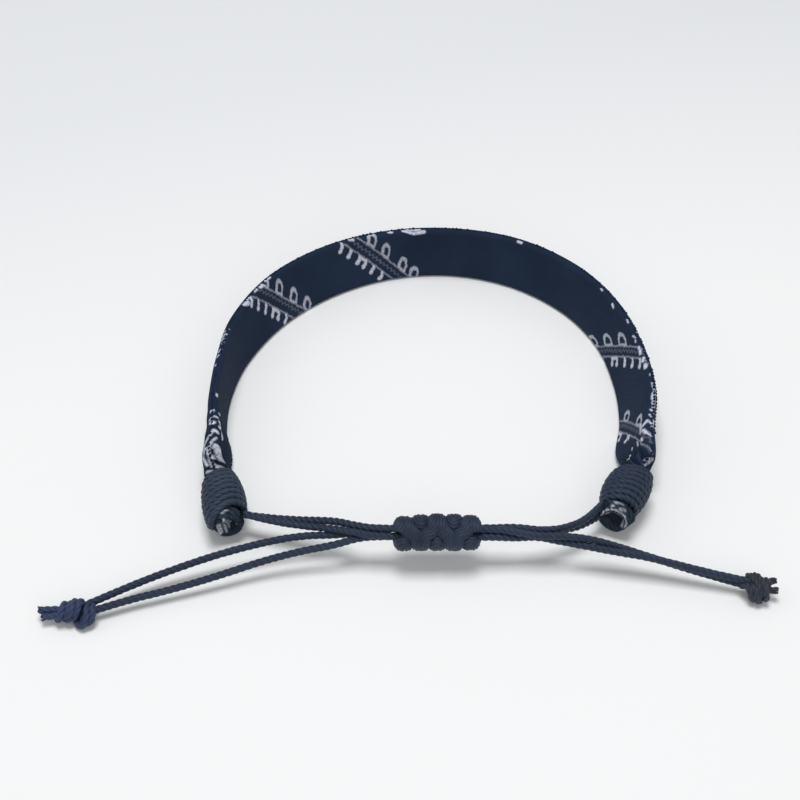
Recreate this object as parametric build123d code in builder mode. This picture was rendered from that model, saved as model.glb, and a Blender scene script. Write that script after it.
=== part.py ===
"""A printed cloth wristband, whipped at both ends and closed by a sliding knot on four cords.

Millimetres, +Z up. The band stands on its lower folded edge on Z = 0, the sliding knot faces -Y, and the
origin is under the middle of the band with its two whippings.
"""

import os
from math import cos, pi, radians, sin, tan

from build123d import *

os.makedirs("parts", exist_ok=True)

# Driving dimensions of the band
band_width = 10.0
band_thickness = 1.5
cloth_swell = 0.03
end_inset_share = 0.26

# Plan of the band's lower edge: its left end, its heading there, and three tangent arcs turning right
plan_start = (-31.2, -17.6)
plan_heading = 109.0
PLAN_ARCS = (
    # radius, turn in degrees
    (36.5, 91.0),
    (29.5, 95.0),
    (44.0, 33.0),
)

# Sections of the open band, from the left whipping round the back to the right one
BAND_ROWS = (
    # along the plan, outward lean in degrees, lift, width, thickness, depth of the gathers
    (3.5, 9.0, 0.0, 9.3, 2.1, 0.25),
    (9.0, 4.0, 0.0, band_width, band_thickness, cloth_swell),
    (17.0, 2.5, 0.0, band_width, band_thickness, cloth_swell),
    (26.0, 8.0, 0.0, band_width, band_thickness, cloth_swell),
    (37.0, 12.0, 0.0, band_width, band_thickness, cloth_swell),
    (48.0, 9.5, 0.0, band_width, band_thickness, cloth_swell),
    (59.0, 4.0, 0.0, band_width, band_thickness, cloth_swell),
    (70.0, 1.5, 0.0, band_width, band_thickness, cloth_swell),
    (81.0, 5.0, 0.0, band_width, band_thickness, cloth_swell),
    (92.0, 7.0, 0.0, band_width, band_thickness, cloth_swell),
    (102.0, 9.5, 0.0, band_width, band_thickness, cloth_swell),
    (112.0, 15.0, 0.0, band_width, band_thickness, cloth_swell),
    (121.0, 21.5, 0.0, band_width, band_thickness, cloth_swell),
    (128.0, 27.0, 0.12, 9.3, 1.9, 0.15),
)

# Driving dimensions of the gathered stems inside the whippings
stem_width = 4.1
stem_thickness = 3.4
stem_fold = 0.25
stem_clearance = 0.15

# Sections of a gathered end, measured from the middle of its whipping towards the tip
END_ROWS = (
    # ahead, drop, width, thickness, depth of the gathers
    (-6.4, 0.0, 6.9, 2.7, 0.3),
    (-4.7, 0.0, 4.2, 3.4, 0.2),
    (0.0, 0.0, stem_width, stem_thickness, stem_fold),
    (4.2, 0.1, stem_width, stem_thickness, stem_fold),
    (4.9, 0.3, 4.3, 3.6, 0.15),
    (5.7, 0.6, 3.3, 2.5, 0.1),
)
tip_eye_radius = 0.75
tip_eye_depth = 1.5

# Driving dimensions of the whippings
cord_diameter = 1.0
wrap_turns = 8
wrap_pitch = 1.0
wrap_radius = 3.35
wrap_end_radius = 2.75
wrap_valley = 0.26
left_wrap_centre = (-31.2, -25.5, 4.5)
left_wrap_heading = 104.0
left_wrap_lean = 12.0
left_wrap_slant = 14.0
right_wrap_centre = (28.4, -24.7, 4.6)
right_wrap_heading = -111.0
right_wrap_lean = 29.0
right_wrap_slant = 4.0

# Driving dimensions of the sliding knot: five half knots, leaning back from upright
slider_centre = (0.2, -34.15, 6.5)
slider_lean = 45.0
half_knots = 5
half_knot_pitch = 2.33
half_knot_radius = 1.82
slider_width = 5.2
slider_depth = 3.9
crossing_radius = 0.55
channel_side = 2.34
channel_corner = 0.5

# Driving dimensions of the end knots and their cut ends
end_knot_major = 1.2
end_knot_minor = 0.75
end_knot_core = 1.25
cut_end_radius = 0.5
socket_clearance = 0.06
KNOT_LOOPS = (
    # place along the tail, turn of the loop about the vertical in degrees
    (-1.15, 24.0),
    (0.1, -30.0),
    (1.15, 22.0),
)
LEFT_CUT_ENDS = (
    # length, sideways place, turn from the knot's heading in degrees
    (4.9, -0.6, -10.0),
    (4.6, 0.55, 4.0),
)
RIGHT_CUT_ENDS = (
    # length, sideways place, turn from the knot's heading in degrees
    (2.8, 0.75, 26.0),
    (2.9, -0.45, 6.0),
)
left_end_knot_centre = (-50.6, -44.6, 1.96)
left_end_knot_heading = 192.0
right_end_knot_centre = (45.9, -40.7, 1.96)
right_end_knot_heading = -12.0

# The cords' routes, from a whipping through the sliding knot to the end knot on the other side
LEFT_CORD_1 = (
    (-27.91, -28.42, 3.75),
    (-24.38, -29.42, 4.15),
    (-19.18, -30.48, 4.9),
    (-14.48, -31.59, 5.8),
    (-11.3, -33.4, 7.1),
    (-8.2, -34.15, 7.3),
    (8.6, -34.15, 7.3),
    (11.4, -34.7, 7.1),
    (14.4, -35.05, 6.5),
    (17.9, -35.0, 6.4),
    (21.5, -34.8, 5.9),
    (25.7, -35.2, 4.8),
    (30.3, -36.2, 3.7),
    (36.1, -37.7, 2.6),
    (41.1, -39.05, 1.95),
    (44.7, -40.1, 1.6),
)
LEFT_CORD_2 = (
    (-27.9, -29.05, 4.65),
    (-24.28, -30.39, 4.75),
    (-19.12, -31.71, 5.05),
    (-14.43, -33.0, 5.95),
    (-11.3, -34.5, 6.98),
    (-8.2, -34.95, 6.5),
    (8.6, -34.95, 6.5),
    (11.4, -34.7, 5.9),
    (14.4, -34.2, 5.6),
    (17.9, -35.0, 5.2),
    (21.5, -35.6, 5.0),
    (25.7, -36.35, 4.8),
    (30.3, -37.05, 4.5),
    (36.1, -38.2, 3.55),
    (41.1, -39.3, 2.95),
    (44.7, -40.0, 2.65),
)
RIGHT_CORD_1 = (
    (24.67, -27.45, 5.2),
    (22.29, -30.57, 5.4),
    (19.02, -32.86, 6.05),
    (15.44, -34.12, 6.8),
    (11.4, -33.6, 7.05),
    (8.6, -33.35, 6.5),
    (-8.2, -33.35, 6.5),
    (-11.3, -33.65, 5.85),
    (-14.46, -33.2, 4.8),
    (-19.07, -33.18, 4.65),
    (-24.08, -34.05, 4.4),
    (-31.19, -35.78, 3.6),
    (-38.46, -38.3, 2.7),
    (-43.79, -40.66, 2.2),
    (-49.5, -43.9, 2.1),
)
RIGHT_CORD_2 = (
    (24.85, -27.6, 3.15),
    (22.57, -30.23, 4.15),
    (19.1, -32.35, 4.85),
    (14.8, -33.2, 6.0),
    (11.4, -33.6, 5.9),
    (8.6, -34.15, 5.7),
    (-8.2, -34.15, 5.7),
    (-11.3, -34.8, 5.75),
    (-14.39, -35.12, 5.2),
    (-18.97, -35.54, 4.5),
    (-24.54, -36.6, 3.6),
    (-31.42, -38.92, 2.8),
    (-38.23, -40.99, 2.15),
    (-43.57, -42.7, 1.9),
    (-49.3, -44.95, 1.75),
)
arc_share = 0.45


# The band: one cloth wall lofted from tip to tip


def level_direction(heading):
    """The level unit vector at a heading, counted anticlockwise from +X."""
    return Vector(cos(radians(heading)), sin(radians(heading)), 0)


def plan_point(along):
    """The point and heading of the lower edge at a distance along the tangent arcs."""
    point = Vector(*plan_start, 0)
    heading = plan_heading
    for radius, turn in PLAN_ARCS:
        step = min(along, radians(turn) * radius)
        side = level_direction(heading - 90)
        heading -= step / radius * 180 / pi
        point += (side - level_direction(heading - 90)) * radius
        along -= step
    return point, heading


def cloth_section(centre, heading, lean, width, thickness, fold):
    """One section face: a rounded edge, three folds, a rounded edge and three folds again."""
    outwards = level_direction(heading + 90)
    upwards = outwards * sin(radians(lean)) + Vector(0, 0, cos(radians(lean)))
    plane = Plane(origin=centre, x_dir=upwards, z_dir=level_direction(heading))
    flat = width - 2 * min(thickness / 2, width * end_inset_share)
    corners = (-flat / 2, -flat / 6, flat / 6, flat / 2)
    with BuildSketch(plane) as section:
        with BuildLine():
            for side in (1, -1):
                low_to_high = corners[::side]
                half = side * thickness / 2
                crest = half + side * fold
                for start, end in zip(low_to_high[:-1], low_to_high[1:]):
                    ThreePointArc((start, half), ((start + end) / 2, crest), (end, half))
                edge = low_to_high[-1]
                ThreePointArc((edge, half), (side * width / 2, 0), (edge, -half))
        make_face()
    return section.sketch


def end_sections(centre, heading, lean, towards_tip):
    """The sections of one gathered end, in END_ROWS' order; towards_tip is 1 or -1 along the heading."""
    sections = []
    for ahead, drop, width, thickness, fold in END_ROWS:
        place = Vector(*centre) + level_direction(heading) * ahead * towards_tip - Vector(0, 0, drop)
        sections.append(cloth_section(place, heading, lean, width, thickness, fold))
    return sections


def open_sections():
    """The sections of the open band, each standing on its lower edge."""
    sections = []
    for along, lean, lift, width, thickness, fold in BAND_ROWS:
        foot, heading = plan_point(along)
        reach = (width - thickness) / 2
        outwards = level_direction(heading + 90)
        rise = lift + thickness / 2 + reach * cos(radians(lean))
        centre = foot + outwards * (reach * sin(radians(lean))) + Vector(0, 0, rise)
        sections.append(cloth_section(centre, heading, lean, width, thickness, fold))
    return sections


left_end = end_sections(left_wrap_centre, left_wrap_heading, left_wrap_lean, -1)
right_end = end_sections(right_wrap_centre, right_wrap_heading, right_wrap_lean, 1)


def tip_plane(centre, heading, towards_tip):
    """The plane on the outer face of a tip, facing away from the band."""
    ahead, drop = END_ROWS[-1][:2]
    facing = level_direction(heading) * towards_tip
    return Plane(origin=Vector(*centre) + facing * ahead - Vector(0, 0, drop), z_dir=facing)


with BuildPart() as band:
    loft(sections=left_end[::-1] + open_sections() + right_end)
    # The rolled eye in the right tip
    with BuildSketch(tip_plane(right_wrap_centre, right_wrap_heading, 1)):
        Circle(tip_eye_radius)
    extrude(amount=-tip_eye_depth, mode=Mode.SUBTRACT)
band.part.label = "band"
export_step(band.part, "parts/band.step")


# The cords: straight runs joined by tangent arcs


def corner_radii(route):
    """The largest tidy arc at each corner of a route."""
    points = [Vector(*point) for point in route]
    radii = []
    for before, corner, after in zip(points[:-2], points[1:-1], points[2:]):
        shorter = min((corner - before).length, (after - corner).length)
        half_turn = radians((corner - before).get_angle(after - corner)) / 2
        radii.append(arc_share * shorter / tan(half_turn))
    return radii


def tube(route, diameter):
    """A round tube along a route."""
    with BuildPart() as run:
        with BuildLine() as path:
            FilletPolyline(*route, radius=corner_radii(route))
        with BuildSketch(path.line ^ 0):
            Circle(diameter / 2)
        sweep()
    return run.part


CORDS = {
    "left_cord_1": LEFT_CORD_1,
    "left_cord_2": LEFT_CORD_2,
    "right_cord_1": RIGHT_CORD_1,
    "right_cord_2": RIGHT_CORD_2,
}

for cord_name, cord_route in CORDS.items():
    with BuildPart() as cord:
        with BuildLine() as cord_path:
            FilletPolyline(*cord_route, radius=corner_radii(cord_route))
        with BuildSketch(cord_path.line ^ 0):
            Circle(cord_diameter / 2)
        sweep()
    cord.part.label = cord_name
    export_step(cord.part, f"parts/{cord_name}.step")
    cord_length = cord_path.wires()[0].length
    true_volume = cord_length * pi * cord_diameter**2 / 4
    print(cord_name, "length", round(cord_length, 1), "mm, volume over section times length",
          round(cord.part.volume / true_volume, 4),
          "radii", [round(radius, 1) for radius in corner_radii(cord_route)])


# The whippings: ribbed barrels of slanted turns round the gathered stems


def barrel_radius(share):
    """The crest radius at a share of the half length from the middle."""
    return wrap_radius - (wrap_radius - wrap_end_radius) * share**2


def turn_sections(centre, heading, slant):
    """The slanted ovals at each valley and crest of a whipping's turns."""
    axis = level_direction(heading)
    steps = 2 * wrap_turns
    sections = []
    for step in range(steps + 1):
        share = 2 * step / steps - 1
        radius = barrel_radius(share) - (wrap_valley if step % 2 == 0 else 0)
        place = Vector(*centre) + axis * (share * wrap_turns * wrap_pitch / 2)
        plane = Plane(origin=place, x_dir=level_direction(heading + slant + 90),
                      z_dir=level_direction(heading + slant))
        with BuildSketch(plane) as turn:
            Ellipse(radius / cos(radians(slant)), radius)
        sections.append(turn.sketch)
    return sections


WHIPPINGS = (
    # name, centre, heading, slant of the turns, the cords that leave it
    ("left_wrap", left_wrap_centre, left_wrap_heading, left_wrap_slant, (LEFT_CORD_1, LEFT_CORD_2)),
    ("right_wrap", right_wrap_centre, right_wrap_heading, right_wrap_slant, (RIGHT_CORD_1, RIGHT_CORD_2)),
)

for wrap_name, wrap_centre, wrap_heading, wrap_slant, wrap_cords in WHIPPINGS:
    with BuildPart() as wrap:
        loft(sections=turn_sections(wrap_centre, wrap_heading, wrap_slant), ruled=True)
        with BuildSketch(Plane(origin=wrap_centre, z_dir=level_direction(wrap_heading))):
            Circle(stem_width / 2 + stem_clearance)
        extrude(amount=2 * wrap_turns * wrap_pitch, both=True, mode=Mode.SUBTRACT)
        for cord_route in wrap_cords:
            add(tube(cord_route[:3], cord_diameter + 2 * socket_clearance), mode=Mode.SUBTRACT)
    wrap.part.label = wrap_name
    export_step(wrap.part, f"parts/{wrap_name}.step")


# The sliding knot: five half knots with their crossing strands and one channel for the four cords

slider_plane = Plane(
    origin=slider_centre,
    x_dir=(1, 0, 0),
    z_dir=(0, -sin(radians(slider_lean)), cos(radians(slider_lean))),
)
crossing_rise = slider_depth / 2 - crossing_radius
crossing_reach = slider_width / 2 - 2 * crossing_radius

with BuildPart() as sliding_knot:
    for knot_index in range(half_knots):
        middle = (knot_index - (half_knots - 1) / 2) * half_knot_pitch
        lobe_plane = Plane(slider_plane.from_local_coords((middle, 0, 0)), slider_plane.x_dir,
                           slider_plane.z_dir)
        with BuildSketch(lobe_plane):
            with BuildLine():
                EllipticalCenterArc((0, 0), half_knot_radius, slider_width / 2, -90, arc_size=180)
                Line((0, slider_width / 2), (0, -slider_width / 2))
            make_face()
        revolve(axis=Axis(lobe_plane.origin, lobe_plane.y_dir))
    for knot_index in range(half_knots):
        middle = (knot_index - (half_knots - 1) / 2) * half_knot_pitch
        for face_side in (1, -1):
            lean_side = face_side * (1 if knot_index % 2 == 0 else -1)
            strand_plane = Plane(
                slider_plane.from_local_coords((middle, 0, face_side * crossing_rise)),
                slider_plane.x_dir,
                slider_plane.z_dir,
            ).rotated((0, 0, lean_side * 62))
            with BuildSketch(strand_plane):
                with BuildLine():
                    Line((-crossing_reach - crossing_radius, 0), (crossing_reach + crossing_radius, 0))
                    CenterArc((crossing_reach, 0), crossing_radius, 0, 90)
                    Line((crossing_reach, crossing_radius), (-crossing_reach, crossing_radius))
                    CenterArc((-crossing_reach, 0), crossing_radius, 90, 90)
                make_face()
            revolve(axis=Axis(strand_plane.origin, strand_plane.x_dir))
    channel_plane = Plane(slider_plane.origin, slider_plane.y_dir, slider_plane.x_dir)
    with BuildSketch(channel_plane):
        RectangleRounded(channel_side, channel_side, channel_corner)
    extrude(amount=half_knots * half_knot_pitch, both=True, mode=Mode.SUBTRACT)
sliding_knot.part.label = "sliding_knot"
export_step(sliding_knot.part, "parts/sliding_knot.step")


# The end knots: loops of the tail cords round a core, with the cut ends beyond

END_KNOTS = (
    # name, centre, heading of the tail, cut ends, the cords that end in it
    ("left_end_knot", left_end_knot_centre, left_end_knot_heading, LEFT_CUT_ENDS,
     (RIGHT_CORD_1, RIGHT_CORD_2)),
    ("right_end_knot", right_end_knot_centre, right_end_knot_heading, RIGHT_CUT_ENDS,
     (LEFT_CORD_1, LEFT_CORD_2)),
)

for knot_name, knot_centre, knot_heading, cut_ends, knot_cords in END_KNOTS:
    tail = level_direction(knot_heading)
    tail_side = level_direction(knot_heading + 90)
    middle_point = Vector(*knot_centre)
    with BuildPart() as end_knot:
        for along_tail, loop_turn in KNOT_LOOPS:
            loop_facing = level_direction(knot_heading + loop_turn)
            with Locations(Plane(origin=middle_point + tail * along_tail, z_dir=loop_facing)):
                Torus(end_knot_major, end_knot_minor)
        core_start = middle_point + tail * KNOT_LOOPS[0][0]
        with BuildSketch(Plane(origin=core_start, z_dir=tail)):
            Circle(end_knot_core)
        extrude(amount=KNOT_LOOPS[-1][0] - KNOT_LOOPS[0][0])
        for cut_length, sideways, cut_turn in cut_ends:
            cut_facing = level_direction(knot_heading + cut_turn)
            with BuildSketch(Plane(origin=middle_point + tail_side * sideways, z_dir=cut_facing)):
                Circle(cut_end_radius)
            extrude(amount=cut_length)
        for cord_route in knot_cords:
            add(tube(cord_route[-3:], cord_diameter + 2 * socket_clearance), mode=Mode.SUBTRACT)
    end_knot.part.label = knot_name
    export_step(end_knot.part, f"parts/{knot_name}.step")
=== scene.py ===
"""Visual model of a printed cloth wristband closed by a sliding knot on four twisted cords.

Metres, +Z up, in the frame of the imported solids: the band stands on Z = 0 and the sliding knot faces -Y.
"""

import logging
from dataclasses import dataclass
from enum import Enum
from math import cos, pi, radians, sin, tan
from typing import Any, Iterator, Sequence

import bpy
from mathutils import Matrix, Vector


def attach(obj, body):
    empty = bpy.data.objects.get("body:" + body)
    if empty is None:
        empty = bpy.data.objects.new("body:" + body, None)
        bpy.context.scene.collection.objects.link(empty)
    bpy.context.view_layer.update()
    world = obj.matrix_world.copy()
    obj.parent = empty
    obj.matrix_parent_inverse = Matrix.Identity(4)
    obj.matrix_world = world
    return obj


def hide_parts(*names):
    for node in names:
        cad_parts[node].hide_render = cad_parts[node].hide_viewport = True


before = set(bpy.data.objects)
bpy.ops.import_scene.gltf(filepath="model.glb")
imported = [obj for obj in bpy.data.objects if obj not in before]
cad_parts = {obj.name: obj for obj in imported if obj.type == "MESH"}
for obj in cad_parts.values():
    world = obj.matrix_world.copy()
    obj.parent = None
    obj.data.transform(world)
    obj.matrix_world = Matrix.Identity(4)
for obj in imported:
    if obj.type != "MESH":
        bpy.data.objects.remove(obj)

log = logging.getLogger("wristband")

MM = 0.001
UP = Vector((0.0, 0.0, 1.0))
DISPLAY_GAMMA = 2.2
SPLINE_ORDER = 3
SPLINE_STEPS = 16
BODY = "root"
PLY_ROUND = "ply_round"
PLY_ALONG = "ply_along"
CLOTH_MAP = "ClothMap"

Point = tuple[float, float, float]
Colour = tuple[float, ...]


class Slot(Enum):
    """The record's material slots."""

    PRINTED_COTTON = "printed_cotton"
    WAXED_CORD = "waxed_cord"


class End(Enum):
    """The band's two ends, each with the sign of its way along the band."""

    LEFT = -1
    RIGHT = 1


def tone(red: int, green: int, blue: int) -> Colour:
    """A linear colour from display values of 0 to 255."""
    return tuple((value / 255) ** DISPLAY_GAMMA for value in (red, green, blue)) + (1.0,)


def level_direction(heading: float) -> Vector:
    """The level unit vector at a heading in degrees, counted anticlockwise from +X."""
    return Vector((cos(radians(heading)), sin(radians(heading)), 0.0))


class Wire:
    """One output of a node, from which arithmetic grows Math nodes in the same tree."""

    def __init__(self, maker: "TreeMaker", socket: bpy.types.NodeSocket) -> None:
        """Keeps the output and the maker of its tree."""
        self.maker = maker
        self.socket = socket

    def __add__(self, other: Any) -> "Wire":
        """The sum."""
        return self.maker.math("ADD", self, other)

    def __sub__(self, other: Any) -> "Wire":
        """The difference."""
        return self.maker.math("SUBTRACT", self, other)

    def __rsub__(self, other: float) -> "Wire":
        """What is left of a plain number."""
        return self.maker.math("SUBTRACT", other, self)

    def __mul__(self, other: Any) -> "Wire":
        """The product."""
        return self.maker.math("MULTIPLY", self, other)

    def __truediv__(self, other: Any) -> "Wire":
        """The quotient."""
        return self.maker.math("DIVIDE", self, other)

    def __abs__(self) -> "Wire":
        """The value without its sign."""
        return self.maker.math("ABSOLUTE", self)

    def scaled(self, factor: Any, offset: Any) -> "Wire":
        """The value times a factor, plus an offset."""
        return self.maker.math("MULTIPLY_ADD", self, factor, offset)

    def larger(self, other: Any) -> "Wire":
        """The larger of this and another value."""
        return self.maker.math("MAXIMUM", self, other)

    def smaller(self, other: Any) -> "Wire":
        """The smaller of this and another value."""
        return self.maker.math("MINIMUM", self, other)

    def sine(self) -> "Wire":
        """The sine of the value in radians."""
        return self.maker.math("SINE", self)

    def cosine(self) -> "Wire":
        """The cosine of the value in radians."""
        return self.maker.math("COSINE", self)

    def root(self) -> "Wire":
        """The square root."""
        return self.maker.math("SQRT", self)

    def clamped(self) -> "Wire":
        """The value held between 0 and 1."""
        return self.maker.out("ShaderNodeClamp", 0, {"Value": self})


class TreeMaker:
    """Adds nodes to one node tree in few words."""

    def __init__(self, tree: bpy.types.NodeTree) -> None:
        """Keeps the tree that the nodes go into."""
        self.tree = tree

    def feed(self, socket: bpy.types.NodeSocket, value: Any) -> None:
        """Links an input to a wire, or sets its value.

        Args:
            socket: The input.
            value: The wire or the plain value.
        """
        if isinstance(value, Wire):
            self.tree.links.new(value.socket, socket)
        else:
            socket.default_value = value

    def node(self, kind: str, inputs: dict[int | str, Any] | None = None, **settings: Any) -> bpy.types.Node:
        """Makes one node.

        Args:
            kind: The node's Blender type.
            inputs: Values or wires by input name or index.
            settings: The node's own properties.

        Returns:
            The new node.
        """
        made = self.tree.nodes.new(kind)
        for name, value in settings.items():
            setattr(made, name, value)
        for key, value in (inputs or {}).items():
            self.feed(made.inputs[key], value)
        return made

    def out(
        self, kind: str, key: int | str, inputs: dict[int | str, Any] | None = None, **settings: Any
    ) -> Wire:
        """One output of a new node."""
        return Wire(self, self.node(kind, inputs, **settings).outputs[key])

    def outs(self, kind: str, inputs: dict[int | str, Any] | None = None, **settings: Any) -> dict[str, Wire]:
        """All outputs of a new node by name."""
        return {socket.name: Wire(self, socket) for socket in self.node(kind, inputs, **settings).outputs}

    def math(self, operation: str, *values: Any) -> Wire:
        """The result of a Math node on up to three values."""
        return self.out("ShaderNodeMath", 0, dict(enumerate(values)), operation=operation)

    def vector(self, operation: str, *values: Any) -> Wire:
        """The result of a Vector Math node.

        Args:
            operation: The node's operation.
            values: Its vectors, or a vector and a scale.

        Returns:
            The number or vector that the operation gives.
        """
        keys = (0, "Scale") if operation == "SCALE" else (0, 1, 2)
        result = "Value" if operation in ("DOT_PRODUCT", "LENGTH") else "Vector"
        return self.out("ShaderNodeVectorMath", result, dict(zip(keys, values)), operation=operation)

    def joined(self, x: Any = 0.0, y: Any = 0.0, z: Any = 0.0) -> Wire:
        """A vector of three numbers."""
        return self.out("ShaderNodeCombineXYZ", 0, {"X": x, "Y": y, "Z": z})

    def parts(self, vector: Wire) -> dict[str, Wire]:
        """The three numbers of a vector, by the names X, Y and Z."""
        return self.outs("ShaderNodeSeparateXYZ", {"Vector": vector})

    def object_place(self) -> Wire:
        """The shaded point in metres."""
        return self.out("ShaderNodeTexCoord", "Object")

    def noise(self, place: Wire, scale: float, detail: float = 2.0, key: str = "Fac") -> Wire:
        """Smooth noise round a place."""
        return self.out("ShaderNodeTexNoise", key, {"Vector": place, "Scale": scale, "Detail": detail})

    def blend(self, share: Wire, first: Any, second: Any) -> Wire:
        """The colour between two colours."""
        return self.out("ShaderNodeMix", 2, {"Factor": share, 6: first, 7: second}, data_type="RGBA")

    def store(self, geometry: Wire, name: str, value: Wire, data_type: str) -> Wire:
        """The geometry with a value kept on its points.

        Args:
            geometry: The geometry.
            name: The name of the kept attribute.
            value: The value at each point.
            data_type: The attribute's type.

        Returns:
            The geometry with the attribute.
        """
        inputs = {"Geometry": geometry, "Name": name, "Value": value}
        return self.out("GeometryNodeStoreNamedAttribute", 0, inputs, data_type=data_type, domain="POINT")


def new_geometry_tree(
    name: str, sockets: Sequence[tuple[str, str, Any]]
) -> tuple[TreeMaker, dict[str, Wire]]:
    """A geometry node tree with named inputs.

    Args:
        name: The tree's name.
        sockets: Name, socket type and default of each input after the geometry.

    Returns:
        The tree's maker and its inputs by name.
    """
    tree = bpy.data.node_groups.new(name, "GeometryNodeTree")
    tree.interface.new_socket("Geometry", in_out="OUTPUT", socket_type="NodeSocketGeometry")
    tree.interface.new_socket("Geometry", in_out="INPUT", socket_type="NodeSocketGeometry")
    for label, kind, default in sockets:
        socket = tree.interface.new_socket(label, in_out="INPUT", socket_type=kind)
        if default is not None:
            socket.default_value = default
    maker = TreeMaker(tree)
    return maker, maker.outs("NodeGroupInput")


def finished_tree(geometry: Wire, material: Wire) -> bpy.types.NodeTree:
    """Ends a tree in Realize Instances and Set Material.

    Args:
        geometry: The geometry that the tree has made.
        material: The tree's material input.

    Returns:
        The whole tree.
    """
    maker = geometry.maker
    real = maker.out("GeometryNodeRealizeInstances", 0, {"Geometry": geometry})
    dressed = maker.out("GeometryNodeSetMaterial", 0, {"Geometry": real, "Material": material})
    maker.node("NodeGroupOutput", {0: dressed})
    return maker.tree


def grown(carrier: bpy.types.Object, tree: bpy.types.NodeTree, values: dict[str, Any]) -> bpy.types.Object:
    """Runs a geometry tree on a carrier object and keeps its result as a plain mesh.

    Args:
        carrier: The object that holds the tree's input geometry.
        tree: The geometry node tree.
        values: The tree's inputs by name.

    Returns:
        The same object with the finished mesh and no modifier.
    """
    modifier = carrier.modifiers.new("Growth", "NODES")
    modifier.node_group = tree
    for item in tree.interface.items_tree:
        if item.item_type == "SOCKET" and item.in_out == "INPUT" and item.name in values:
            modifier[item.identifier] = values[item.name]
    graph = bpy.context.evaluated_depsgraph_get()
    mesh = bpy.data.meshes.new_from_object(carrier.evaluated_get(graph))
    mesh.name = carrier.name
    old = carrier.data
    carrier.modifiers.clear()
    carrier.data = mesh
    if old.users == 0:
        bpy.data.meshes.remove(old)
    return carrier


def new_object(name: str, data: bpy.types.ID | None) -> bpy.types.Object:
    """Links a new object at the origin.

    Args:
        name: The object's name.
        data: Its mesh, curve, light or camera.

    Returns:
        The object.
    """
    made = bpy.data.objects.new(name, data)
    bpy.context.scene.collection.objects.link(made)
    return made


def spline_points(name: str, controls: Sequence[Sequence[float]]) -> list[Vector]:
    """The points of the smooth spline with these control points.

    Args:
        name: A name for the spline.
        controls: Its control points in metres.

    Returns:
        The points of its centreline in order.
    """
    curve = bpy.data.curves.new(name, "CURVE")
    curve.dimensions = "3D"
    curve.resolution_u = SPLINE_STEPS
    spline = curve.splines.new("NURBS")
    spline.points.add(len(controls) - 1)
    for point, place in zip(spline.points, controls):
        point.co = (*place, 1.0)
    spline.order_u = SPLINE_ORDER
    spline.use_endpoint_u = True
    holder = new_object(name, curve)
    graph = bpy.context.evaluated_depsgraph_get()
    line = bpy.data.meshes.new_from_object(holder.evaluated_get(graph))
    points = [vertex.co.copy() for vertex in line.vertices]
    bpy.data.objects.remove(holder)
    bpy.data.curves.remove(curve)
    bpy.data.meshes.remove(line)
    return points


def polyline(name: str, runs: Sequence[Sequence[Vector]]) -> bpy.types.Object:
    """A carrier mesh of edges through each run of points.

    Args:
        name: The object's name.
        runs: The runs of points, each in order.

    Returns:
        The carrier object.
    """
    mesh = bpy.data.meshes.new(name)
    points, edges = [], []
    for run in runs:
        start = len(points)
        points.extend(run)
        edges.extend((start + step, start + step + 1) for step in range(len(run) - 1))
    mesh.from_pydata(points, edges, [])
    return new_object(name, mesh)


def dress(piece: bpy.types.Object, slot: Slot, *nodes: str) -> bpy.types.Object:
    """Rides a finished piece on the body and hides the CAD nodes that it stands for.

    Args:
        piece: The finished piece.
        slot: Its material slot. Not used.
        nodes: The CAD nodes that it stands for, if any.

    Returns:
        The same piece.
    """
    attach(piece, BODY)
    if nodes:
        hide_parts(*nodes)
    log.info("%s: %d faces", piece.name, len(piece.data.polygons))
    return piece


def new_material(name: str, roughness: float) -> tuple[bpy.types.Material, TreeMaker, bpy.types.Node]:
    """A new material.

    Args:
        name: Its name.
        roughness: Its roughness.

    Returns:
        The material, its maker and its shader node.
    """
    material = bpy.data.materials.new(name)
    material.use_nodes = True
    shader = material.node_tree.nodes["Principled BSDF"]
    shader.inputs["Roughness"].default_value = roughness
    return material, TreeMaker(material.node_tree), shader


@dataclass(frozen=True)
class WaxedCordFinish:
    """Dark blue waxed cord whose fibres run along each ply."""

    name: str = "waxed_cord"
    light: Colour = tone(48, 66, 92)
    dark: Colour = tone(8, 14, 24)
    roughness: float = 0.55
    specular: float = 0.4
    sheen: float = 0.08
    sheen_roughness: float = 0.4
    streaks_round: float = 7.0
    streaks_along: float = 900.0
    streak_share: float = 0.75
    streak_height: float = 0.06 * MM
    streak_strength: float = 0.9
    patches: float = 160.0
    patch_share: float = 0.5
    darkening: float = 0.12

    def build(self) -> bpy.types.Material:
        """Makes the material, which reads the plies' own attributes.

        Returns:
            The material.
        """
        material, maker, shader = new_material(self.name, self.roughness)
        around = maker.out("ShaderNodeAttribute", "Vector", attribute_name=PLY_ROUND)
        along = maker.out("ShaderNodeAttribute", "Fac", attribute_name=PLY_ALONG)
        round_place = maker.vector("SCALE", around, self.streaks_round)
        long_place = maker.joined(z=along * self.streaks_along)
        fibres = maker.noise(maker.vector("ADD", round_place, long_place), 1.0, detail=3.0)
        patches = maker.noise(maker.object_place(), self.patches)
        share = fibres * self.streak_share + patches * self.patch_share
        colour = maker.blend((share - self.darkening).clamped(), self.dark, self.light)
        raised = {"Height": fibres, "Distance": self.streak_height, "Strength": self.streak_strength}
        maker.feed(shader.inputs["Base Color"], colour)
        maker.feed(shader.inputs["Normal"], maker.out("ShaderNodeBump", 0, raised))
        shader.inputs["Sheen Weight"].default_value = self.sheen
        shader.inputs["Sheen Roughness"].default_value = self.sheen_roughness
        shader.inputs["Specular IOR Level"].default_value = self.specular
        return material


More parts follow.
